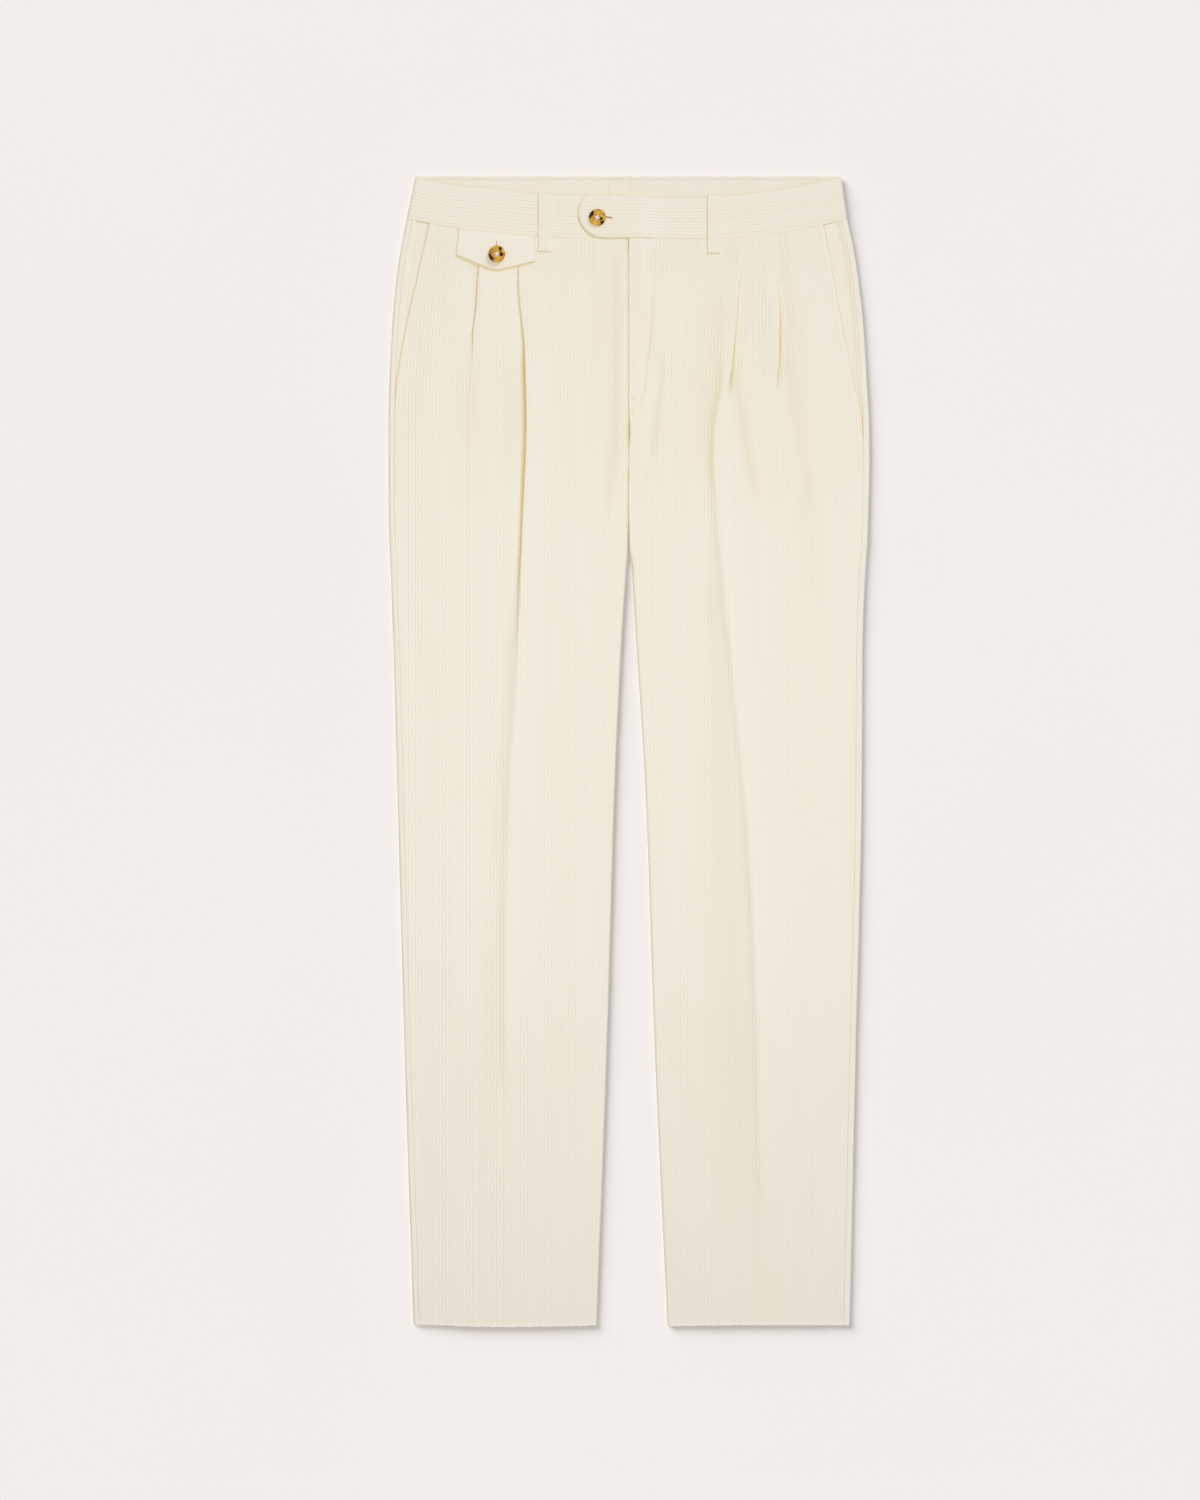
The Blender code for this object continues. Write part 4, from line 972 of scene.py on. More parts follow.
def stride_keys(columns, fixed=()):
    """The columns that a plain inner face keeps: those that are fixed, and a few between them."""
    keys = sorted({0, columns - 1, *fixed})
    filled = []
    for first, last in zip(keys, keys[1:]):
        pieces = max(1, round((last - first) / INNER_STRIDE))
        filled += [first + round((last - first) * i / pieces) for i in range(pieces)]
    return [*filled, columns - 1]


def grid(bm, points, grain):
    """A grid whose vertices take the given places and marks."""
    rows, columns = points.shape[:2]
    made = bmesh.ops.create_grid(bm, x_segments=columns - 1, y_segments=rows - 1, size=1.0)["verts"]
    # The grain mark holds the place in the grain and then painted shade, below nothing painted light; the
    # shade mark holds painted grey shade
    marks, shades = bm.verts.layers.float_vector["grain"], bm.verts.layers.float["shade"]
    for vert, place, mark in zip(made, (points * MM).reshape(-1, 3).tolist(), grain.reshape(-1, 4).tolist()):
        vert.co = place
        vert[marks], vert[shades] = mark[:3], mark[3]
    return [made[i * columns:(i + 1) * columns] for i in range(rows)]


def new_object(name, bm):
    """A bmesh as an object of the scene."""
    mesh = bpy.data.meshes.new(name)
    bm.to_mesh(mesh)
    bm.free()
    thing = bpy.data.objects.new(name, mesh)
    bpy.context.scene.collection.objects.link(thing)
    return thing


def add_piece(name, bm, material, sharp=50, lit="trousers"):
    """Turn a bmesh into a piece that rides on the trousers, and is lit like the others of its collection."""
    piece = new_object(name, bm)
    piece.data.shade_smooth()
    piece.data.set_sharp_from_angle(angle=math.radians(sharp))
    piece.data.materials.append(material)
    bpy.data.collections[lit].objects.link(piece)
    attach(piece, "root")
    return piece


def wall(node, outer, inner, grain, fixed=()):
    """A closed wall in place of a node: a fine outer face over an inner face that keeps fewer columns."""
    outer, inner, grain = (np.array(rows) for rows in (outer, inner, grain))
    keys = stride_keys(outer.shape[1], fixed)
    bm = bmesh.new()
    bm.verts.layers.float_vector.new("grain")
    bm.verts.layers.float.new("shade")
    out, into = grid(bm, outer, grain), grid(bm, inner[:, keys], grain[:, keys])
    for a, b in zip(range(len(out)), range(1, len(out))):
        bm.faces.new((out[a][0], out[b][0], into[b][0], into[a][0]))
        bm.faces.new((out[a][-1], into[a][-1], into[b][-1], out[b][-1]))
    for row_out, row_in in ((out[0], into[0]), (out[-1], into[-1])):
        for i, (first, last) in enumerate(zip(keys, keys[1:])):
            bm.faces.new([*row_out[first:last + 1], row_in[i + 1], row_in[i]])
    bmesh.ops.remove_doubles(bm, verts=bm.verts, dist=1e-7)
    bmesh.ops.recalc_face_normals(bm, faces=bm.faces)
    twill = node == "waistband_facing"
    piece = add_piece(f"{node}_cloth", bm, twill_material() if twill else corduroy_material())
    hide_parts(node)


def surface_normals(middle):
    """Unit normals of a grid of places, whose rows and columns all differ."""
    along, over = np.gradient(middle, axis=0), np.gradient(middle, axis=1)
    normal = np.cross(along, over)
    return normal / np.linalg.norm(normal, axis=2, keepdims=True)


def skin(node, middle, normal, outward, thick, grain, fixed=()):
    """A wall on a grid of its middle places, with a plain inner face."""
    wall(node, middle + normal * outward[..., None], middle - normal * thick / 2, grain, fixed)


def laid_wall(node, middle, thick, full, grain, wales, flip=False):
    """A wall on a grid of its middle places, with wales that stand this much against those of the legs."""
    outward = (thick / 2 + wale_offset(grain[..., 0] / MM, wales)) * full
    skin(node, middle, surface_normals(middle) * (-1 if flip else 1), outward, thick, grain)


def grain_of(across, along, deep=0.0, grey=0.0):
    """The mark of each vertex: place across and along the grain in metres, and how much warm and grey shade
    is painted on it.
    """
    across, along, deep, grey = np.broadcast_arrays(across, along, deep, grey)
    return np.stack([across * MM, along * MM, deep, grey], -1)


def seam_shade(x, height):
    """How dark the shade painted on the edges of the waist seam is just below it."""
    return between(SEAM_SHADE, x) * float(ease((height - WAIST + 1.6) / 1.3))


def row_heights(radius, sparse, dense):
    """Heights of a panel's rows from the hem to the waist, and their shares of the thickness."""
    inside = [radius, 4.0, 12.0, *np.arange(24.0, 42.0, sparse)]
    inside += [HEM_SEWN + d for d in (-2.5, -1.1, -0.5, 0.0, 0.5, 1.1, 2.5)]
    inside += [*np.arange(62.0, CROTCH - 45, sparse), *np.arange(CROTCH - 40, WAIST - dense, dense)]
    inside += [WAIST - 2.0, WAIST - SEAM_EDGE]
    heights = np.concatenate([RIM_STEPS * radius, inside, WAIST - RIM_STEPS[::-1] * SEAM_EDGE])
    return heights, np.concatenate([RIM_FULL, np.ones(len(inside)), sewn_share(RIM_FULL[::-1])])


def hem_dent(height):
    """How far the blind stitching draws the cloth in."""
    return 0.07 * bell(height - HEM_SEWN, 0.9)


def hem_sway(side, across, height):
    """The hem's edge isn't quite straight."""
    frayed = 0.22 * np.sin(across / 1.1) + 0.16 * np.sin(across / 2.7 + 1.0)
    return (between(HEM_LINE[side], across) + frayed) * (1 - ease((height - 1.0) / 16.0))


def pale_rim(height):
    """Painted light along the hem's edge, marked as less than nothing in the painted shade."""
    return 1 - ease((height - 0.8) / 1.0)


def make_front(side):
    """A front leg with its pleats, creases, fly edge and inseam."""
    sign = SIGN[side]
    zones = front_zones(side)
    outer, inner, marks = [], [], []
    for height, share in zip(*row_heights(CLOTH / 2, 12.0, 8.0)):
        across, level, full, ridge, deep, grain = front_section(side, height, zones)
        normal = section_normals(across, level)
        y = seam_y(sign, across, height) + hem_sway(side, across, height)
        outward = (CLOTH / 2 + wale_offset(grain, ridge) - hem_dent(height)) * full * share
        outer.append(moved(sign, across, y, level, normal, outward))
        inner.append(moved(sign, across, y, level, normal, -CLOTH / 2))
        # Painted shade along the waist seam, painted light on the hem's edge, and painted grey shade beside
        # the creases
        sewn = seam_shade(sign * across, height)
        deep = deep + SEAM_DEEP * sewn - pale_rim(height)
        marks.append(grain_of(grain, y, deep, shade(side, across, height) + sewn))
    columns = len(outer[0])
    folds = 2 * (FOLD_STEPS + 1)
    second = len(RIM) + len(zones[0]) + 2
    main = second + folds + len(zones[1]) + 2
    wall(f"front_{side}", outer, inner, marks, [
        *range(second - 1, second + folds + 1),
        *range(main - 1, main + folds + 1),
        *range(columns - END_STEPS - len(RIM) - 1, columns),
    ])


def make_back(side):
    """A back leg: it lies on the surface and rolls up at the side to the side seam on the front."""
    sign = SIGN[side]
    columns = wale_columns(-2.0, 224.0)[::-1]
    radius = CLOTH / 2
    angles = math.pi * np.arange(1, ROLL_STEPS + 1) / ROLL_STEPS
    outer, inner, marks = [], [], []
    for height, share in zip(*row_heights(radius, 16.0, 14.0)):
        outline = read(LEGS[side], "outline", height)
        edge = read(LEGS[side], "inner", height)
        roll_at = outline - CLOTH / 2 - ROLL
        flat = np.concatenate([edge + RIM_STEPS * radius, [edge + radius],
                               np.clip(columns, edge + radius, roll_at - 0.3), [roll_at]])
        seam = outline - SEAM_INSET + SEWN
        run = np.linspace(roll_at, seam + SEAM_EDGE, 6)[1:]
        tip = seam + SEAM_EDGE * RIM_STEPS[::-1]
        across = np.concatenate([flat, roll_at + ROLL * np.sin(angles), run, tip])
        full = np.concatenate([RIM_FULL, np.ones(len(across) - 2 * len(RIM)), sewn_share(RIM_FULL[::-1])])
        loose = ease((flat - edge) / EDGE_STILL) * ease((roll_at - flat) / EDGE_STILL)
        level = np.concatenate([
            BACK_LEVEL + relief(BACK_CREASES, side, flat, height) * loose,
            BACK_LEVEL + ROLL * (1 - np.cos(angles)),
            np.full(len(run) + len(tip), FRONT_LEVEL),
        ])
        upper = np.clip((level - BACK_LEVEL) / (2 * ROLL), 0.0, 1.0)
        waist = BACK_SEAM + (curve(WAIST_SEAM, sign * across) - BACK_SEAM) * upper - SEWN
        y = place_y(height + (waist - WAIST) * seam_bend(height)) + hem_sway(side, across, height) * upper
        nx, nz = section_normals(-across, level)
        travel = travelled(across, level)
        place = np.arange(len(across)) - len(flat)
        grain = np.where(place < 0, across, roll_at + travel - travel[len(flat) - 1])
        rise = wale_offset(grain, 1.0) - WALE_SPACE * (1 - ease(place - 1.0))
        outward = (CLOTH / 2 + rise - hem_dent(height)) * full * share
        outer.append(moved(sign, across, y, level + lift(height), (nx, -nz), outward))
        inner.append(moved(sign, across, y, level + lift(height), (nx, -nz), -CLOTH / 2))
        # Painted shade beside the side seam and along the waist seam, and painted light on the roll's
        # outermost line and the hem's edge
        sewn = seam_shade(sign * across, height)
        deep = np.clip(0.05 * fade(across - seam, 0.5) * upper + SEAM_DEEP * sewn, 0, 1)
        painted_light = ROLL_PAINTED_LIGHT[side] * bell(outline - across, 1.2)
        marks.append(grain_of(grain, y, deep - np.maximum(painted_light, pale_rim(height)), sewn))
    total = len(outer[0])
    wall(f"back_{side}", outer, inner, marks, range(total - ROLL_STEPS - 8, total))


def make_pocket_facing(side):
    """The cloth behind a slanted pocket opening; its wales follow the side seam."""
    sign = SIGN[side]
    radius = FACING / 2
    step = wale_pitch() / COLUMNS_PER_WALE
    widest = max(row.outline - row.edge for row in LEGS[side]) - SEAM_INSET + FACING_UNDER
    offsets = np.arange(0, math.ceil(widest / step) + 1) * step
    column_full = np.concatenate([sewn_share(RIM_FULL), np.ones(len(offsets)), RIM_FULL[::-1]])
    outer, inner, marks = [], [], []
    for height, share in zip(*rimmed(FACING_FOOT[side], WAIST, 40, radius, SEAM_EDGE)):
        seam = read(LEGS[side], "outline", height) - SEAM_INSET
        opening = seam - read(LEGS[side], "edge", height)
        end = opening + FACING_UNDER
        depth = np.concatenate([RIM_STEPS * SEAM_EDGE, np.clip(offsets, SEAM_EDGE, end - radius),
                                end - RIM_STEPS[::-1] * radius])
        across = seam - depth
        y = seam_y(sign, across, height)
        sink = min(6.0, max(2.5, opening - 0.8))
        tucked = float(ease((FACING_TUCK[0] - opening) / (FACING_TUCK[0] - FACING_TUCK[1])))
        level = FRONT_LEVEL - FACING_SINK * np.maximum(ease(depth / sink), tucked) + lift(height)
        normal = section_normals(across, level)
        outward = (radius + wale_offset(depth, 1.0)) * column_full * share
        outer.append(moved(sign, across, y, level, normal, outward))
        inner.append(moved(sign, across, y, level, normal, -radius))
        # Painted shadow on the facing beside the front's edge, stronger at the top, and painted shade along
        # the waist seam
        near = fade(opening - depth, 0.9) * (1 + 0.35 * float(ease((height - 1024) / 10)))
        sewn = seam_shade(sign * across, height)
        marks.append(grain_of(depth, y, 0.75 * near + SEAM_DEEP * sewn, sewn))
    wall(f"pocket_facing_{side}", outer, inner, marks)


def tab_inset(rise):
    """How far the rounded end of the tab stands back at a rise above the waist seam."""
    lower_width, lower_height = TAB_LOWER_CORNER
    upper_width, upper_height = TAB_UPPER_CORNER
    low = np.clip(1 - rise / lower_height, 0, 1)
    high = np.clip(1 - (BAND_HEIGHT - rise) / upper_height, 0, 1)
    return lower_width * (1 - np.sqrt(1 - low**2)) + upper_width * (1 - np.sqrt(1 - high**2))


def band_level(side, across):
    """The middle of a front band's wall before its side rolls down."""
    if side == "right":
        return BAND_LEVEL + 0 * across
    fallen = ease((across - TAB_STEP[0]) / (TAB_STEP[1] - TAB_STEP[0]))
    return BAND_LEVEL + (TAB_LEVEL - BAND_LEVEL) * (1 - fallen)


def make_front_band(side):
    """Half of the front waistband: it rolls down at the side, and its wales run along it."""
    sign = SIGN[side]
    half = BAND / 2
    rise, line_full = rimmed(0.0, BAND_HEIGHT, 80, SEAM_EDGE, half)
    share = rise / BAND_HEIGHT
    low_side, high_side = BAND_SIDE[side]
    edge = low_side + (high_side - low_side) * share
    square_end = -BAND_UNDERLAP if side == "right" else -TAB_END
    end = square_end + (0.0 if side == "right" else tab_inset(rise))
    foot = BAND_LIFT + CLOTH + SEAM_GAP - BAND_LEVEL
    across = [edge - half, edge - half]
    drops = [foot, (foot - BAND_ROLL) / 2]
    for i in range(7):
        angle = math.pi / 2 * (1 - i / 6)
        across.append(edge - half - BAND_ROLL * (1 - math.sin(angle)))
        drops.append(-BAND_ROLL * (1 - math.cos(angle)))
    rolled = across[-1]
    along = np.arange(1, BAND_COLUMNS + 1) / BAND_COLUMNS
    reach = half / np.abs(square_end - rolled[0])
    tail = np.array([1.0, *RIM_STEPS[::-1]]) * reach
    along = np.concatenate([along[along < 1 - 1.4 * reach], 1 - tail])
    last_full = np.concatenate([np.ones(len(along) - len(RIM)), RIM_FULL[::-1]])
    for a in along:
        across.append(rolled + (square_end - rolled) * a + (end - square_end) * ease(4 * a - 3))
        drops.append(0.0)
    across = np.array(across)
    thin = 1 - 0.5 * (1 - ease(rise / 4.5))
    full = np.concatenate([np.ones(len(across) - len(last_full)), last_full])[:, None] * line_full * thin
    x = sign * across
    seam, top = curve(WAIST_SEAM, x), curve(FRONT_EDGE, x)
    y = place_y(seam + (top - seam) * share)
    wave = 0.18 * np.sin(across / 17.0 + 1.5 * share) * ease((across - 30) / 30)
    level = band_level(side, across) + np.array(drops)[:, None] + wave * (np.array(drops) == 0)[:, None]
    middle = np.stack([x, y, level], 2)
    # Painted shadow on the right band under the tab's end, painted shade along the waist seam and painted
    # grey shade along the top edge
    contact_shadow = 0.0
    if side == "right":
        contact_shadow = 0.4 * fade(across - (TAB_END - tab_inset(rise)), 1.0)
    near_seam = between(SEAM_SHADE, x) * (1 - ease((rise - 0.3) / 1.0))
    grey = near_seam + 0.25 * ease((rise - BAND_HEIGHT + 1.3) / 0.8)
    marks = grain_of(rise + 0 * across, x, np.clip(contact_shadow + SEAM_DEEP * near_seam, 0, 1), grey)
    laid_wall(f"waistband_front_{side}", middle, BAND, full, marks, BAND_WALES, flip=side == "left")


def band_ends(share):
    """Where the band ends on the right and on the left, at a share of its height."""
    return [SIGN[side] * (low + (high - low) * share) for side, (low, high) in BAND_SIDE.items()]


def make_back_band():
    """The back waistband: corduroy behind, its upper edge rolled over to the twill inside."""
    bottom = BAND_LIFT + CLOTH / 2
    bend = 0.72
    turn_at = LENGTH - CLOTH / 2 - bend
    path = [(BACK_SEAM + s * CLOTH / 2, bottom, f) for s, f in RIM]
    path += [(h, bottom, 1.0) for h in np.linspace(BACK_SEAM + CLOTH / 2, turn_at, BACK_BAND_ROWS)]
    for i in range(1, 9):
        angle = math.pi * i / 8
        path.append((turn_at + bend * math.sin(angle), bottom + bend * (1 - math.cos(angle)), 1.0))
    for drop, share in ((2.0, 1.0), (2.3, 0.87), (2.5, 0.5), (2.6, 0.0)):
        path.append((LENGTH - drop, bottom + 2 * bend, share))
    heights, levels, line_full = np.array(path).T
    right, left = band_ends(np.clip((heights - BACK_SEAM) / BAND_HEIGHT, 0, 1))
    widest = BAND_SIDE["right"][0] + BAND_SIDE["left"][0]
    stations, station_full = rimmed(0.0, 1.0, 70, CLOTH / 2 / widest)
    x = right + (left - right) * stations[:, None]
    middle = np.stack([x, place_y(heights) + 0 * x, levels + 0 * x], 2)
    travel = travelled(heights, levels)
    sunk = wale_rise() * (1 - ridges(travel)) * (levels < bottom + bend)
    outward = (CLOTH / 2 - sunk) * station_full[:, None] * line_full
    turned = range(len(RIM) + BACK_BAND_ROWS - 1, len(path))
    marks = grain_of(travel + 0 * x, x)
    skin("waistband_back", middle, -surface_normals(middle), outward, CLOTH, marks, turned)


def make_inner_band():
    """The twill inside the back waistband, with its centre seam, and two seams where it was joined."""
    inset = BAND + 0.5
    heights, line_full = rimmed(BACK_SEAM + 2, LENGTH - 2.65, 20, FACING / 2, SEAM_EDGE)
    right, left = band_ends((heights - BACK_SEAM) / BAND_HEIGHT)
    right, left = right + inset, left - inset
    beside = (-1.6, -0.9, -0.45, -0.2, 0, 0.2, 0.45, 0.9, 1.6)
    fine = [seam.across + d for seam in INNER_SEAMS for d in beside]
    stations = np.unique(np.concatenate([np.linspace(-200.0, 200.0, 61), fine]))
    x = np.stack([np.clip(stations, low, high) for low, high in zip(right, left)], 1)
    x[0], x[-1] = right, left
    order = np.arange(len(stations))[:, None] * 1e-3
    x = np.where(np.isclose(x, right), right + order, np.where(np.isclose(x, left), left - order[::-1], x))
    y = place_y(heights) + 0 * x
    dent = sum(seam.dent * bell(x - seam.across, seam.width) for seam in (*INNER_SEAMS, INNER_FOLD))
    soft = 0.072 * np.sin(x / 23.0) + 0.048 * np.sin(x / 11.0 + 1.0)
    middle = np.stack([x, y, BAND_LIFT + CLOTH + SEAM_GAP + FACING / 2 - dent + soft], 2)
    # Painted shadow below the front band's edge and along the top, and painted shade in the seams' dents
    contact_shadow = 0.35 * fade(heights - curve(FRONT_EDGE, x), 1.4)
    sewn = 0.1 * ease((heights - LENGTH + 4.2) / 1.2)
    drawn_in = dent / INNER_SEAMS[1].dent
    marks = grain_of(x, y, np.clip(0.2 * drawn_in + contact_shadow + sewn, 0, 1), 0.3 * drawn_in)
    end_full = np.ones(len(stations))
    end_full[[0, -1]] = 0.0
    normal = surface_normals(middle)
    outward = FACING / 2 * end_full[:, None] * line_full
    skin("waistband_facing", middle, normal * np.sign(normal[..., 2:]), outward, FACING, marks)


def rounded_path(path, count):
    """Points evenly spaced along a path, rounded between its own."""
    points = np.array(path, float)
    travel = travelled(*points.T)
    at = np.linspace(0, travel[-1], count)
    return np.stack([steady(list(zip(travel, points[:, k])), at) for k in range(2)], 1)


def make_strap(node, middle, path, thick, wales, count, edge_shadow=(0, 0), flip=False):
    """A strap across the band: path gives (height, level) of its wall's middle.

    wales is how much they stand, and the pair after count how dark the shadow painted on its edge on the
    wearer's right is, at the two heights given for it."""
    points = rounded_path(path, count)
    steps, full = rimmed(0.0, 1.0, count, 0.5 * thick / travelled(*points.T)[-1])
    heights = np.interp(steps, np.linspace(0, 1, count), points[:, 0])
    levels = np.interp(steps, np.linspace(0, 1, count), points[:, 1])
    places, line_full = rimmed(-LOOP_WIDTH / 2, LOOP_WIDTH / 2, 26, thick / 2)
    foot = ease((heights[-1] + 4.0 - heights) / 3.0)[:, None] if edge_shadow[1] else 0 * heights[:, None]
    x = middle + places * (1 + 0.07 * foot)
    bow = 0.25 * (1 - (places / (LOOP_WIDTH / 2)) ** 2)
    grid_points = np.stack([x, place_y(heights)[:, None] + 0 * x, levels[:, None] - 0.25 + bow + 0 * x], 2)
    # Painted shadow on the edge on the wearer's right, and painted grey shade on the rims and at the foot
    rim = np.minimum(1.6 * (1 - line_full), 1.0)
    deep = rim * np.where(places > 0, 0.0, np.interp(heights, LOOP_EDGE_SHADOW_AT, edge_shadow)[:, None])
    grey = (rim * np.where(places > 0, 0.5, 0.2) + 0.4 * foot * (1 - full[:, None])) * (edge_shadow[1] > 0)
    grain = grain_of(places + LOOP_WIDTH / 2 + 0 * x, grid_points[..., 1], deep, grey)
    laid_wall(node, grid_points, thick, full[:, None] * line_full, grain, wales, flip)


def loop_path(side):
    """A front loop: hooked over the band's upper edge, bowed off the band, its foot on the front.

    Gives its place and the (height, level) points of its wall's middle."""
    across = FRONT_LOOPS[side]
    x = SIGN[side] * across
    spread = np.linspace(across - LOOP_WIDTH / 2, across + LOOP_WIDTH / 2, 7)
    panel = max(front_top(side, spread, height).max() for height in (1018.0, 1035.0, WAIST - 1))
    foot = panel + 0.1 + STRAP / 2
    band = BAND_LEVEL + BAND / 2 + WALE_SPACE + 0.1 + STRAP / 2
    sides = np.array([x - LOOP_WIDTH / 2, x + LOOP_WIDTH / 2])
    top, seam = float(curve(FRONT_EDGE, sides).max()), float(curve(WAIST_SEAM, sides).min())
    hook = top + 0.1 + STRAP / 2
    path = [(hook, BAND_LEVEL)]
    for i in range(5):
        angle = math.pi / 2 * i / 4
        path.append((hook - LOOP_BEND * (1 - math.cos(angle)), band - LOOP_BEND * (1 - math.sin(angle))))
    start, stop = path[-1][0], seam + 7
    for i in range(1, 7):
        path.append((start + (stop - start) * i / 6, band + LOOP_BOW * math.sin(math.pi * i / 6)))
    over = max(band, foot)
    path += [(seam + 2.5, over), (seam - 2.5, over), (seam - 6.5, foot), (seam - LOOP_FOOT, foot)]
    return x, path


def smoothed(levels, width):
    """Levels averaged over their neighbours."""
    kernel = np.hanning(width) / np.hanning(width).sum()
    return np.convolve(np.pad(levels, width // 2, mode="edge"), kernel, mode="valid")


@functools.lru_cache(maxsize=None)
def flap_levels():
    """The middle of the flap's wall over places across it: just clear of the front and its pleats."""
    places = np.arange(80.0, 176.0, 1.0)
    panel = np.max([front_top("right", places, h) for h in (1009.0, 1018.0, 1036.0)], axis=0)
    panel[panel < 0] = 0
    hull = []
    for spot in zip(places, panel):
        while len(hull) > 1 and (hull[-1][1] - hull[-2][1]) * (spot[0] - hull[-2][0]) <= (
                spot[1] - hull[-2][1]) * (hull[-1][0] - hull[-2][0]):
            hull.pop()
        hull.append(spot)
    taut = np.interp(places, *zip(*hull))
    smooth = smoothed(taut, 25)
    wide = np.lib.stride_tricks.sliding_window_view(np.pad(panel, 7, mode="edge"), 15).max(1)
    close = np.minimum(smoothed(wide, 17), smooth)
    over, on = np.maximum(smooth, taut - 0.1), np.maximum(close, panel)
    return places, over + SEAM_GAP + FLAP / 2, on + 0.1 + FLAP / 2


def flap_level(x, edge=0.0):
    """The flap's level, taut over the pleats in its middle and close to the cloth along its edges."""
    places, taut, close = flap_levels()
    taut, close = (np.interp(-np.asarray(x), places, levels) for levels in (taut, close))
    return taut + (close - taut) * edge


def cloth_top(name):
    """The level of the wales' crests under a button."""
    if name == "waist":
        return TAB_TOP
    return float(flap_level(BUTTONS[name][0])) + FLAP / 2 + WALE_SPACE


def make_flap():
    """The watch pocket's pointed flap."""
    share, column_full = rimmed(0.0, 1.0, 150, FLAP / 2 / FLAP_WIDTH)
    fall, row_full = rimmed(0.0, 1.0, 22, SEAM_EDGE / FLAP_FALL, FLAP / 2 / FLAP_FALL)
    lower_x = FLAP_EDGE[0][0] + (FLAP_EDGE[2][0] - FLAP_EDGE[0][0]) * share
    upper_x = FLAP_TOP[0] + (FLAP_TOP[1] - FLAP_TOP[0]) * share
    edge_x, edge_y = np.array(FLAP_EDGE).T
    lower = np.interp(lower_x, edge_x, edge_y)
    blunt = 1.2 * bell(lower_x - edge_x[1], 3.0)
    x = upper_x + (lower_x - upper_x) * fall[:, None]
    top = curve(WAIST_SEAM, x) - SEWN
    y = place_y(top + (lower + blunt - top) * fall[:, None])
    from_foot = (1 - fall[:, None]) * (top - lower)
    from_side = np.minimum(share, 1 - share) * FLAP_WIDTH
    edge = 1 - ease(from_foot / FLAP_CLOSE) * ease(from_side / FLAP_CLOSE) * ease(fall[:, None] * 5)
    level = flap_level(x, edge) + 0.25 * np.sin(math.pi * fall[:, None]) * np.sin(math.pi * share)
    middle = np.stack([x, y, level], 2)
    # Painted shadow at the flap's rims, painted shade along its top seam, and paler over its middle
    rim = 1 - np.where(fall[:, None] > 0.5, row_full[:, None], 1.0) * column_full
    inside = ease(from_foot / 3) * ease(from_side / 3)
    sewn = 0.25 * (1 - ease(fall[:, None] * FLAP_FALL / 1.3))
    deep = sewn + np.minimum(1.6 * rim, 1.1) - 0.12 * inside
    full = row_full[:, None] * column_full
    laid_wall("watch_pocket_flap", middle, FLAP, full, grain_of(x, y, deep), FLAP_WALES)


def rgba(colour, share=1.0):
    """A colour with its alpha, darkened to a share of itself."""
    return (*(share * value for value in colour), 1.0)


def feed(node, inputs):
    """Give a node's inputs their values, or the sockets that they come from."""
    for name, value in inputs.items():
        if isinstance(value, bpy.types.NodeSocket):
            node.id_data.links.new(value, node.inputs[name])
        else:
            node.inputs[name].default_value = value


def add_node(tree, kind, inputs, **settings):
    """A shader node with its settings and inputs."""
    node = tree.nodes.new(f"ShaderNode{kind}")
    for name, value in settings.items():
        setattr(node, name, value)
    feed(node, inputs)
    return node


def math_node(tree, operation, *values, clamp=False):
    """The result of a sum with values or sockets."""
    return add_node(tree, "Math", dict(enumerate(values)), operation=operation, use_clamp=clamp).outputs[0]


def mix_colour(tree, factor, a, b):
    """A colour between two others."""
    return add_node(tree, "Mix", {0: factor, 6: a, 7: b}, data_type="RGBA").outputs[2]


def noise(tree, vector, scale=1.0, detail=3.0, rough=0.55):
    """Noise over places."""
    inputs = {"Vector": vector, "Scale": scale, "Detail": detail, "Roughness": rough}
    return add_node(tree, "TexNoise", inputs).outputs["Fac"]


def stretched(tree, vector, scale):
    """Places that are scaled differently along each axis."""
    return add_node(tree, "Mapping", {"Vector": vector, "Scale": scale}).outputs["Vector"]


def bump(tree, height, strength, distance):
    """Normals that are bent by a height."""
    inputs = {"Height": height, "Strength": strength, "Distance": distance}
    return add_node(tree, "Bump", inputs).outputs["Normal"]


def object_place(tree):
    """Places in the object's own coordinates."""
    return add_node(tree, "TexCoord", {}).outputs["Object"]


def cloth_group():
    """Fibres and slow unevenness of cotton cloth, along a grain that is given in metres."""
    if "cotton" in bpy.data.node_groups:
        return bpy.data.node_groups["cotton"]
    group = bpy.data.node_groups.new("cotton", "ShaderNodeTree")
    group.interface.new_socket(name="Grain", in_out="INPUT", socket_type="NodeSocketVector")
    across = group.interface.new_socket(name="Across", in_out="INPUT", socket_type="NodeSocketFloat")
    across.default_value = 1.0
    for name in ("Fibre", "Mottle"):
        group.interface.new_socket(name=name, in_out="OUTPUT", socket_type="NodeSocketFloat")
    given = group.nodes.new("NodeGroupInput").outputs
    fine = noise(group, stretched(group, given["Grain"], FIBRES), 1.0, 4.0, 0.6)
    tufts = noise(group, stretched(group, given["Grain"], TUFTS), 1.0, 2.0, 0.5)
    slow = noise(group, stretched(group, given["Grain"], MOTTLE), 1.0, 3.0, 0.5)
    both = math_node(group, "ADD", math_node(group, "MULTIPLY", fine, 0.65),
                     math_node(group, "MULTIPLY", tufts, 0.35))
    spread = math_node(group, "MULTIPLY_ADD", math_node(group, "SUBTRACT", both, 0.5), given["Across"], 0.5)
    feed(group.nodes.new("NodeGroupOutput"), {"Fibre": spread, "Mottle": slow})
    return group


def new_material(name):
    """A new material, its tree and its shader."""
    material = bpy.data.materials.new(name)
    material.use_nodes = True
    return material, material.node_tree, material.node_tree.nodes["Principled BSDF"]


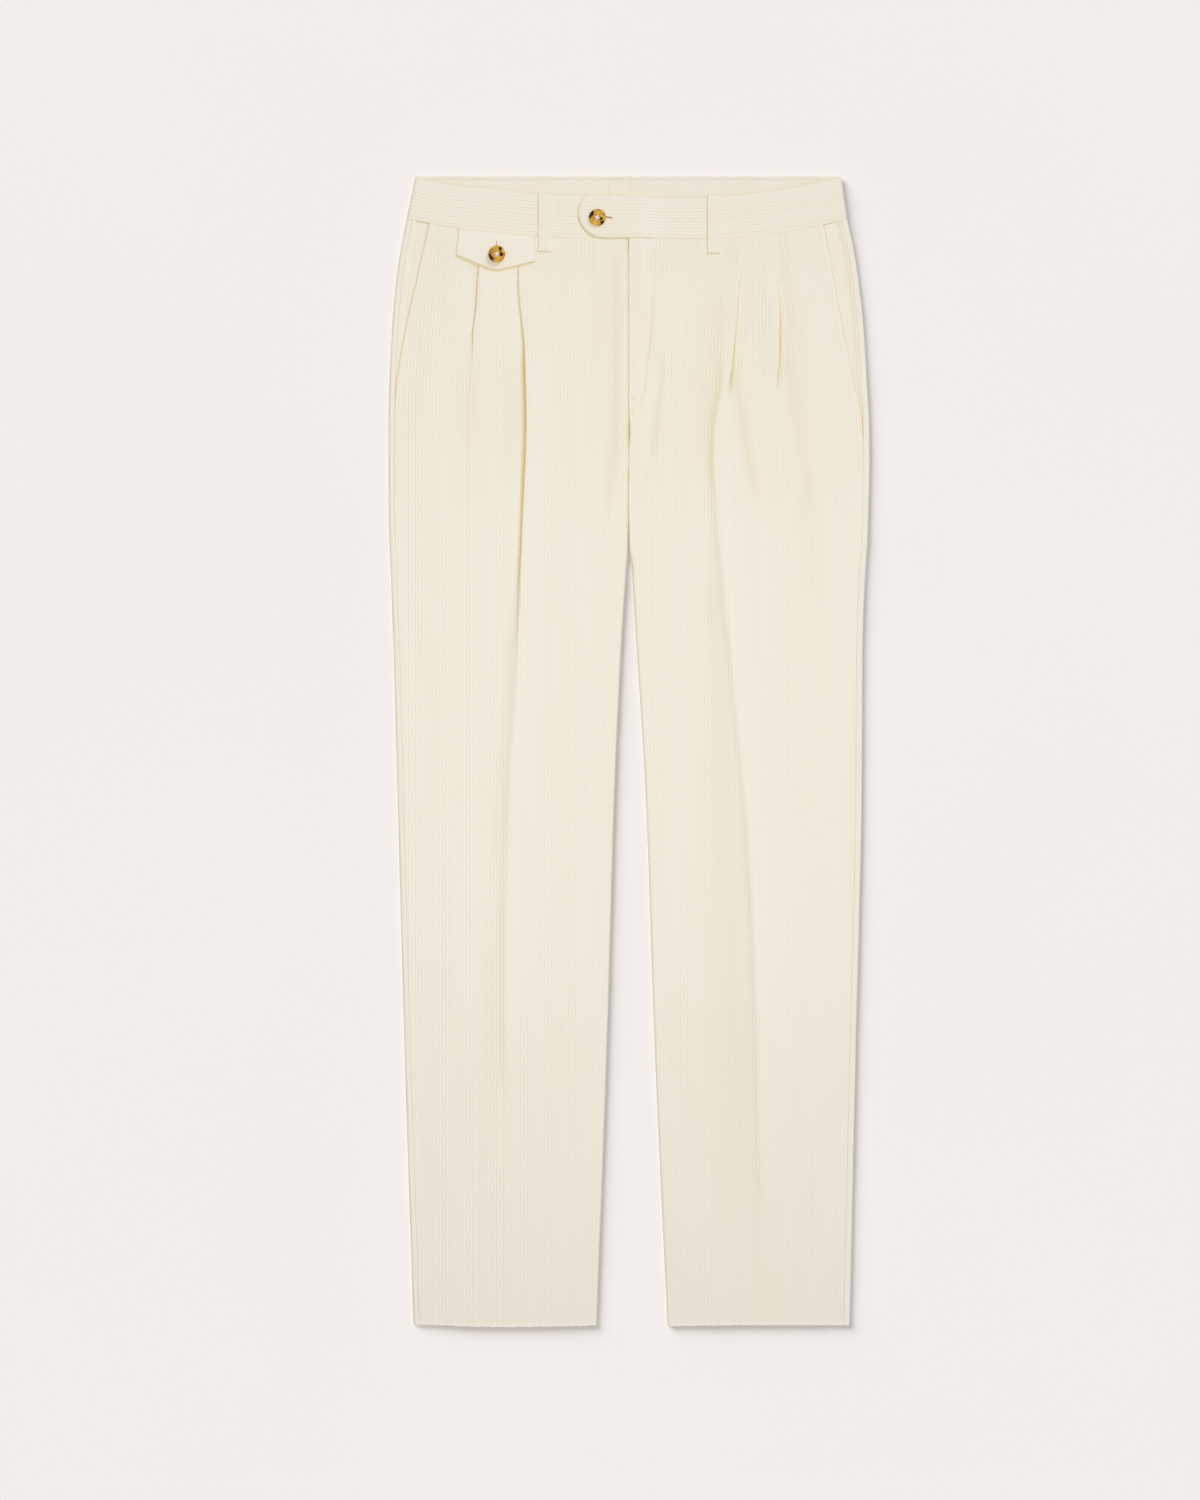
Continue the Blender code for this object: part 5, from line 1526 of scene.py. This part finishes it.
def cloth_inputs(tree, across=1.0):
    """What a cloth's material starts from: the parts of its grain mark, its fibres and its unevenness."""
    grain = add_node(tree, "Attribute", {}, attribute_name="grain").outputs["Vector"]
    parts = add_node(tree, "SeparateXYZ", {0: grain}).outputs
    cotton = tree.nodes.new("ShaderNodeGroup")
    cotton.node_tree = cloth_group()
    feed(cotton, {"Grain": grain, "Across": across})
    return parts, cotton.outputs["Fibre"], math_node(tree, "SUBTRACT", cotton.outputs["Mottle"], 0.45)


def shaded(tree, colour):
    """A cloth's colour with the grey of its shade marks."""
    grey = add_node(tree, "Attribute", {}, attribute_name="shade").outputs["Fac"]
    return mix_colour(tree, grey, colour, rgba(bpy.context.scene.trousers_cloth.shade))


def corduroy_material():
    """Cream corduroy: a soft nap on the wales and a plainer, warmer base between them, partly the weave's own
    colour and partly painted shade; shade and light are also painted from the cloth's marks.
    """
    if "corduroy_nap" in bpy.data.materials:
        return bpy.data.materials["corduroy_nap"]
    cloth = bpy.context.scene.trousers_cloth
    material, tree, shader = new_material("corduroy_nap")
    parts, fibre, mottle = cloth_inputs(tree)
    # The grooves between the wales take the darker colour: the base weave's own colour with painted shade in
    # them
    turn = math_node(tree, "MULTIPLY", parts["X"], math.pi / cloth.pitch)
    wave = math_node(tree, "ABSOLUTE", math_node(tree, "SINE", turn))
    groove = math_node(tree, "POWER", math_node(tree, "SUBTRACT", 1.0, wave, clamp=True), 1.6)
    wale = math_node(tree, "FLOOR", math_node(tree, "DIVIDE", parts["X"], cloth.pitch))
    along = add_node(tree, "CombineXYZ", {0: math_node(tree, "MULTIPLY", wale, 5.31),
                                          1: math_node(tree, "MULTIPLY", parts["Y"], 3.0)})
    own = math_node(tree, "SUBTRACT", noise(tree, along.outputs[0], 1.0, 2.0), 0.5)
    strength = math_node(tree, "MULTIPLY_ADD", own, 0.16, 0.075)
    # The mark above nothing is painted shade: in folds, against edges, along seams and beside creases
    down = math_node(tree, "ADD", math_node(tree, "MULTIPLY", groove, strength),
                     math_node(tree, "MAXIMUM", parts["Z"], 0.0))
    uneven = math_node(tree, "MULTIPLY_ADD", own, 0.07, math_node(tree, "MULTIPLY", mottle, 0.1))
    down = math_node(tree, "ADD", down, uneven, clamp=True)
    colour = mix_colour(tree, down, rgba(cloth.pile), rgba(cloth.ground_and_shade))
    # Above one the mark is painted shadow far down between two layers
    hollow_shadow = math_node(tree, "SUBTRACT", parts["Z"], 1.0, clamp=True)
    colour = shaded(tree, mix_colour(tree, hollow_shadow, colour, rgba(cloth.hollow_shadow)))
    # Below nothing the mark is painted light on pale edges and on the lit side of creases
    edge = math_node(tree, "MULTIPLY", parts["Z"], -1.0, clamp=True)
    colour = mix_colour(tree, edge, colour, rgba(cloth.painted_light))
    nap = math_node(tree, "MULTIPLY", math_node(tree, "SUBTRACT", 0.62, fibre), 0.6, clamp=True)
    feed(shader, {
        "Base Color": mix_colour(tree, nap, colour, rgba(cloth.pile, 0.93)),
        "Roughness": math_node(tree, "MULTIPLY_ADD", fibre, 0.1, 0.85),
        "Specular IOR Level": 0.2,
        "Sheen Weight": 0.25,
        "Sheen Roughness": 0.6,
        "Sheen Tint": (1.0, 0.97, 0.9, 1.0),
        "Normal": bump(tree, fibre, 0.6, 0.00025),
    })
    return material


def twill_material():
    """Smooth cream twill with its diagonal."""
    if "cream_twill" in bpy.data.materials:
        return bpy.data.materials["cream_twill"]
    cloth = bpy.context.scene.trousers_cloth
    material, tree, shader = new_material("cream_twill")
    parts, fibre, mottle = cloth_inputs(tree, 0.7)
    slant = math_node(tree, "ADD", parts["X"], parts["Y"])
    diagonal = math_node(tree, "SINE", math_node(tree, "MULTIPLY", slant, 7000.0))
    # The mark is painted shade: below the front band's edge, along the top and in the seams
    down = math_node(tree, "ADD", parts["Z"], math_node(tree, "MULTIPLY", mottle, 0.12), clamp=True)
    lines = math_node(tree, "MULTIPLY_ADD", diagonal, 0.4, fibre)
    feed(shader, {
        "Base Color": shaded(tree, mix_colour(tree, down, rgba(cloth.twill), rgba(cloth.ground_and_shade))),
        "Roughness": math_node(tree, "MULTIPLY_ADD", fibre, 0.1, 0.78),
        "Specular IOR Level": 0.25,
        "Sheen Weight": 0.1,
        "Normal": bump(tree, lines, 0.3, 0.00012),
    })
    return material


def horn_material():
    """Polished horn: amber with dark blotches and fine streaks."""
    if "mottled_horn" in bpy.data.materials:
        return bpy.data.materials["mottled_horn"]
    look = bpy.context.scene.trousers_buttons
    material, tree, shader = new_material("mottled_horn")
    place = object_place(tree)
    flat = add_node(tree, "VectorMath", {0: place, 1: (1.0, 1.0, 0.0)}, operation="MULTIPLY").outputs[0]
    streaks = noise(tree, stretched(tree, place, (420.0, 900.0, 300.0)), 1.0, 3.0, 0.6)
    ragged = math_node(tree, "MULTIPLY", math_node(tree, "SUBTRACT", streaks, 0.5), 2.2)
    edge = None
    for blotch in BLOTCHES:
        x, height = BUTTONS[blotch.button]
        middle = ((x + blotch.across) * MM, place_y(height + blotch.up) * MM, 0.0)
        apart = add_node(tree, "VectorMath", {0: flat, 1: middle}, operation="DISTANCE").outputs["Value"]
        within = math_node(tree, "MULTIPLY_ADD", apart, -1 / (BLOTCH_SOFT * MM), blotch.radius / BLOTCH_SOFT)
        edge = within if edge is None else math_node(tree, "MAXIMUM", edge, within)
    dark = math_node(tree, "ADD", edge, ragged, clamp=True)
    clouds = noise(tree, stretched(tree, place, (260.0, 330.0, 100.0)), 1.0, 2.0, 0.5)
    clouded = math_node(tree, "ADD", clouds, math_node(tree, "MULTIPLY", streaks, 0.5))
    clouded = math_node(tree, "MULTIPLY_ADD", clouded, 2.6, -1.45, clamp=True)
    deep_amber = [value * share for value, share in zip(look.amber, (0.5, 0.38, 0.3))]
    colour = mix_colour(tree, clouded, rgba(look.amber), rgba(deep_amber))
    feed(shader, {
        "Base Color": mix_colour(tree, dark, colour, rgba(look.blotch)),
        "Roughness": math_node(tree, "MULTIPLY_ADD", streaks, 0.12, 0.2),
        "Specular IOR Level": 0.06,
        "Coat Weight": 0.02,
        "Coat Roughness": 0.12,
        "Normal": bump(tree, streaks, 0.15, 0.0001),
    })
    return material


def thread_material(kind="sewing"):
    """Twisted cotton thread: for sewing, white for the buttons, and brown to paint the shade down in a
    buttonhole.
    """
    name = f"{kind}_thread"
    if name in bpy.data.materials:
        return bpy.data.materials[name]
    cloth = bpy.context.scene.trousers_cloth
    base = {"sewing": cloth.thread, "button": cloth.button_thread, "slit": cloth.slit}[kind]
    material, tree, shader = new_material(name)
    twist = noise(tree, object_place(tree), 3500.0, 2.0)
    feed(shader, {
        "Base Color": mix_colour(tree, twist, rgba(base), rgba(base, 0.85)),
        "Roughness": math_node(tree, "MULTIPLY_ADD", twist, 0.2, 0.6),
        "Normal": bump(tree, twist, 0.4, 0.0001),
    })
    return material


def button_blank(radius):
    """A turned button without its holes."""
    bm = bmesh.new()
    verts = [bm.verts.new((r * radius, 0.0, z * radius)) for r, z in BUTTON_PROFILE]
    edges = [bm.edges.new(pair) for pair in zip(verts, verts[1:])]
    bmesh.ops.spin(bm, geom=verts + edges, cent=(0, 0, 0), axis=(0, 0, 1), angle=2 * math.pi,
                   steps=BUTTON_SIDES, use_merge=True)
    bmesh.ops.remove_doubles(bm, verts=bm.verts, dist=1e-6)
    bmesh.ops.recalc_face_normals(bm, faces=bm.faces)
    return new_object("button_blank", bm)


def button_drills(radius):
    """The four round cutters of a button's holes."""
    bm = bmesh.new()
    step, hole = BUTTON_HOLE_STEP * radius, BUTTON_HOLE * radius
    for a, b in BUTTON_HOLES:
        bmesh.ops.create_cone(bm, cap_ends=True, segments=20, radius1=hole, radius2=hole, depth=radius,
                              matrix=Matrix.Translation((a * step, b * step, 0)))
    return new_object("button_holes", bm)


def drilled_button(radius, place):
    """A button with its holes, turned and moved to its place."""
    blank, drills = button_blank(radius), button_drills(radius)
    cut = blank.modifiers.new("holes", "BOOLEAN")
    cut.operation, cut.object, cut.solver = "DIFFERENCE", drills, "EXACT"
    ready = bpy.data.meshes.new_from_object(blank.evaluated_get(bpy.context.evaluated_depsgraph_get()))
    bm = bmesh.new()
    bm.from_mesh(ready)
    bmesh.ops.rotate(bm, verts=bm.verts, cent=(0, 0, 0), matrix=Matrix.Rotation(BUTTON_TURN, 3, "Z"))
    bmesh.ops.translate(bm, verts=bm.verts, vec=place)
    meshes = blank.data, drills.data, ready
    for thing in (blank, drills):
        bpy.data.objects.remove(thing)
    for mesh in meshes:
        bpy.data.meshes.remove(mesh)
    return bm


def button_threads(radius, place):
    """The threads that cross a button's face from hole to hole, and their coil under it."""
    bm = bmesh.new()
    turn = Matrix.Rotation(BUTTON_TURN, 4, "Z")
    step, apart = BUTTON_HOLE_STEP * radius, BUTTON_THREADS_APART * radius
    for holes in (BUTTON_HOLES[::2], BUTTON_HOLES[3::-2]):
        for shift in (-apart, apart):
            first, last = (turn @ Vector((p * step + shift * q, q * step - shift * p, 0)) for p, q in holes)
            points = [place + first.lerp(last, share) + Vector((0, 0, up * radius))
                      for share, up in BUTTON_THREAD_PATH]
            tube(bm, points, BUTTON_THREAD * MM, 8)
    bmesh.ops.create_cone(bm, cap_ends=True, segments=14, radius1=0.3 * radius, radius2=0.27 * radius,
                          depth=0.9 * MM, matrix=Matrix.Translation(place - Vector((0, 0, 0.2 * MM))))
    return bm


def make_button(name):
    """A turned horn button with a dished face and four holes, and the thread that holds it."""
    x, height = BUTTONS[name]
    radius = bpy.context.scene.trousers_buttons.diameter / 2
    seat = cloth_top(name) + SEAM_GAP
    if name == "watch_pocket":
        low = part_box("button_watch_pocket")[0][2] / MM
        seat = max(low, min(seat, low + 1.0))
    place = Vector((x, place_y(height), seat)) * MM
    piece = add_piece(f"button_{name}_horn", drilled_button(radius, place), horn_material(), 35, "buttons")
    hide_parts(f"button_{name}")
    threads = button_threads(radius, place)
    piece = add_piece(f"button_{name}_thread", threads, thread_material("button"), lit="buttons")


def tube(bm, points, radius, sides=6):
    """A round thread along points, with closed ends."""
    rings = []
    last = len(points) - 1
    for i, point in enumerate(points):
        way = (points[min(i + 1, last)] - points[max(i - 1, 0)]).normalized()
        turn = way.to_track_quat("Z", "Y").to_matrix().to_4x4()
        at_end = i in (0, last)
        made = bmesh.ops.create_circle(bm, cap_ends=at_end, segments=sides,
                                       radius=radius * (0.45 if at_end else 1.0),
                                       matrix=Matrix.Translation(point) @ turn)
        rings.append(made["verts"])
    for one, two in zip(rings, rings[1:]):
        for i in range(sides):
            j = (i + 1) % sides
            bm.faces.new((one[i], one[j], two[j], two[i]))


def thread(bm, spots, radius, sides=6):
    """A round thread through spots, in millimetres."""
    tube(bm, [Vector(spot) * MM for spot in spots], radius * MM, sides)


def stitch_line(bm, points, stitch):
    """Stitches along a line of places in millimetres, each a short thread that dips at its ends."""
    points = np.array(points, float)
    travel = travelled(*points.T)
    dip = np.array([-0.22, 0.02, 0.1, 0.02, -0.22]) * stitch.radius / FLY_STITCH.radius
    start = 0.0
    while start + stitch.length <= travel[-1]:
        at = start + np.array([0.0, 0.15, 0.5, 0.85, 1.0]) * stitch.length
        spots = np.stack([np.interp(at, travel, points[:, k]) for k in range(3)], 1)
        spots[:, 2] += dip
        thread(bm, spots, stitch.radius)
        start += stitch.length + stitch.gap


def bar_tack(bm, centre):
    """Dense stitches side by side about a place."""
    centre, along, over = (np.array(v) for v in (centre, TACK_ALONG, TACK_OVER))
    for i in range(TACK_COUNT):
        middle = centre + along * ((i + 0.5) / TACK_COUNT - 0.5)
        spots = [middle + over * share - (0, 0, dip) for share, dip in TACK_STITCH]
        thread(bm, spots, FLY_STITCH.radius)


def panel_point(side, across, height, out=0.12):
    """A place just over a front."""
    level = float(front_top(side, across, height)[0]) - WALE_SPACE / 2 + out
    return (SIGN[side] * across, float(seam_y(SIGN[side], np.array(across), height)), level)


def buttonhole(bm, middle, hole):
    """The stitched lips of a buttonhole about its middle, in millimetres."""
    way = np.array(hole.way) / np.linalg.norm(hole.way)
    side = np.array([-way[1], way[0]])
    length = hole.length
    steps = int(length / LIP_STEP)
    outline = [(way * (i / steps - 0.5) * length + side * LIP_SLIT, side) for i in range(steps + 1)]
    if hole.eye:
        for i in range(1, 9):
            angle = math.pi * i / 9
            ray = side * math.cos(angle) + way * math.sin(angle)
            outline.append((way * 0.5 * length + ray * LIP_EYE, ray))
    outline += [(way * (0.5 - i / steps) * length - side * LIP_SLIT, -side) for i in range(steps + 1)]
    for spot, ray in outline:
        thread(bm, [np.array([*(spot + ray * out), up]) + middle for out, up in LIP_STITCH], LIP_THREAD, 5)


def sew_fly(bm):
    """The fly's line of stitches and the bar tack at its foot."""
    heights = np.linspace(FLY_STITCH_TOP, FLY_STITCHED[0][0] + 0.5, 170)
    line = [panel_point("left", float(steady(FLY_STITCHED, h)), h, 0.05) for h in heights]
    stitch_line(bm, line, FLY_STITCH)
    bar_tack(bm, panel_point("left", *TACK_PLACE, 0.2))


def sew_hems(bm):
    """The blind stitches of both hems."""
    for side in SIDES:
        inner, outer = (read(LEGS[side], field, HEM_SEWN) for field in ("inner", "edge"))
        places = np.linspace(inner + 4.0, outer - 3.0, 90)
        stitch_line(bm, [panel_point(side, float(a), HEM_SEWN, -0.12) for a in places], HEM_STITCH)


def sew_buttonholes(bm):
    """The lips of the tab's buttonhole, which has an eye, and of the flap's."""
    for name, (x, height) in BUTTONS.items():
        hole = BUTTONHOLES[name]
        middle = x + hole.across, place_y(height + hole.up), cloth_top(name)
        buttonhole(bm, middle, hole)


def paint_slit_shade(bm):
    """Dark threads that paint the shade between the lips of each buttonhole beside its button."""
    x, height = BUTTONS["waist"]
    spots = [(x + d, place_y(height + 1.2 - 0.2 * (d - 7)), TAB_TOP + 0.2) for d in (6.5, 10, 13.2, 14.2)]
    thread(bm, spots, SLIT_BROAD, 8)
    x, height = BUTTONS["watch_pocket"]
    top = cloth_top("watch_pocket")
    thread(bm, [(x - 0.3, place_y(height + d), top) for d in (7, 9, 12, 13.5)], SLIT_NARROW, 8)


def make_floor(colour):
    """The floor that the trousers lie on."""
    bm = bmesh.new()
    bmesh.ops.create_grid(bm, x_segments=1, y_segments=1, size=FLOOR_SIZE)
    bmesh.ops.translate(bm, verts=bm.verts, vec=(0, 0, -FLOOR_DROP))
    floor = new_object("floor", bm)
    material, tree, shader = new_material("pale_floor")
    patches = noise(tree, object_place(tree), 2.0)
    feed(shader, {
        "Base Color": mix_colour(tree, patches, rgba(colour), rgba(colour, 0.985)),
        "Roughness": 0.95,
        "Specular IOR Level": 0.0,
    })
    floor.data.materials.append(material)
    bpy.data.collections["stage"].objects.link(floor)


def add_light(name, power):
    """One of LIGHTS, which shines on the things of its collection only."""
    light = LIGHTS[name]
    data = bpy.data.lights.new(name, light.kind)
    data.energy, data.color, data.use_shadow = power, light.colour, light.shadow
    thing = bpy.data.objects.new(name, data)
    bpy.context.scene.collection.objects.link(thing)
    thing.location = light.place
    thing.light_linking.receiver_collection = bpy.data.collections[light.lit]
    if light.kind == "AREA":
        data.shape, data.size = "DISK", light.size
    else:
        data.angle = math.radians(light.size)
        thing.rotation_euler = (-Vector(light.place)).to_track_quat("-Z", "Y").to_euler()


def add_camera(scene):
    """The camera, straight above the trousers."""
    camera = bpy.data.cameras.new("camera")
    camera.lens, camera.sensor_width, camera.clip_end = LENS, SENSOR, CAMERA_REACH
    eye = bpy.data.objects.new("camera", camera)
    eye.location = CAMERA_PLACE
    scene.collection.objects.link(eye)
    scene.camera = eye


class TROUSERS_OT_stage(Operator):
    """Lay the floor, set the lights and place the camera"""

    bl_idname = "trousers.stage"
    bl_label = "Stage"

    def execute(self, context):
        look = context.scene.trousers_stage
        for lit in ("stage", "trousers", "buttons"):
            bpy.data.collections.new(lit)
        make_floor(look.floor)
        for name, power in (
            ("floor_sun", look.floor_sun),
            ("floor_glow", look.floor_glow),
            ("key", look.key),
            ("fill", look.fill),
            ("under_glow", UNDER_GLOW),
            ("button_key", BUTTON_KEY),
            ("button_fill", BUTTON_FILL),
        ):
            add_light(name, power)
        world = bpy.data.worlds.new("studio")
        world.use_nodes = True
        feed(world.node_tree.nodes["Background"], {"Color": rgba(WHITE), "Strength": look.sky})
        context.scene.world = world
        context.scene.view_settings.view_transform = "Standard"
        add_camera(context.scene)
        return {"FINISHED"}


class TROUSERS_OT_legs(Operator):
    """Make the fronts, the backs and the pocket facings"""

    bl_idname = "trousers.legs"
    bl_label = "Legs"

    def execute(self, context):
        for side in SIDES:
            make_front(side)
            make_back(side)
            make_pocket_facing(side)
        return {"FINISHED"}


class TROUSERS_OT_waistband(Operator):
    """Make the waistband, its tab and the twill inside it"""

    bl_idname = "trousers.waistband"
    bl_label = "Waistband"

    def execute(self, context):
        for side in SIDES:
            make_front_band(side)
        make_back_band()
        make_inner_band()
        return {"FINISHED"}


class TROUSERS_OT_trims(Operator):
    """Make the belt loops and the watch pocket's flap"""

    bl_idname = "trousers.trims"
    bl_label = "Loops and flap"

    def execute(self, context):
        for side in SIDES:
            x, path = loop_path(side)
            make_strap(f"belt_loop_front_{side}", x, path, STRAP, 1.0, 60, LOOP_EDGE_SHADOW[side])
        heights = LENGTH - 0.5, BACK_SEAM + 20, BACK_SEAM + 1
        for name, x in BACK_LOOPS.items():
            path = [(height, BACK_LOOP / 2 + 0.25) for height in heights]
            make_strap(f"belt_loop_back_{name}", x, path, BACK_LOOP - 0.6, BACK_LOOP_WALES, 14, flip=True)
        make_flap()
        return {"FINISHED"}


class TROUSERS_OT_buttons(Operator):
    """Make both horn buttons and the thread that holds them"""

    bl_idname = "trousers.buttons"
    bl_label = "Buttons"

    def execute(self, context):
        for name in BUTTONS:
            make_button(name)
        return {"FINISHED"}


class TROUSERS_OT_sewing(Operator):
    """Sew the fly with its bar tack, the hems and the buttonholes"""

    bl_idname = "trousers.sewing"
    bl_label = "Sewing"

    def execute(self, context):
        for name, sew, kind in (
            ("fly_stitching", sew_fly, "sewing"),
            ("hem_stitching", sew_hems, "sewing"),
            ("buttonhole_stitching", sew_buttonholes, "sewing"),
            # the buttonholes' slits get dark thread that paints their shade
            ("buttonhole_slits", paint_slit_shade, "slit"),
        ):
            bm = bmesh.new()
            sew(bm)
            add_piece(name, bm, thread_material(kind))
        return {"FINISHED"}


class TROUSERS_PT_panel(Panel):
    """Steps that finish the trousers"""

    bl_label = "Corduroy trousers"
    bl_idname = "TROUSERS_PT_panel"
    bl_space_type = "VIEW_3D"
    bl_region_type = "UI"
    bl_category = "Trousers"

    def draw(self, context):
        for step in OPERATORS:
            self.layout.operator(step.bl_idname)


SETTINGS = {
    "trousers_cloth": TrousersCloth,
    "trousers_buttons": TrousersButtons,
    "trousers_stage": TrousersStage,
}
OPERATORS = (
    TROUSERS_OT_stage,
    TROUSERS_OT_legs,
    TROUSERS_OT_waistband,
    TROUSERS_OT_trims,
    TROUSERS_OT_buttons,
    TROUSERS_OT_sewing,
)


def register():
    for kind in (*SETTINGS.values(), *OPERATORS, TROUSERS_PT_panel):
        bpy.utils.register_class(kind)
    for name, kind in SETTINGS.items():
        setattr(bpy.types.Scene, name, PointerProperty(type=kind))


def unregister():
    for name in SETTINGS:
        delattr(bpy.types.Scene, name)
    for kind in reversed((*SETTINGS.values(), *OPERATORS, TROUSERS_PT_panel)):
        bpy.utils.unregister_class(kind)


def main():
    register()
    bpy.ops.trousers.stage()
    bpy.ops.trousers.legs()
    bpy.ops.trousers.waistband()
    bpy.ops.trousers.trims()
    bpy.ops.trousers.buttons()
    bpy.ops.trousers.sewing()
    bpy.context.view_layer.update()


if __name__ == "__main__":
    main()
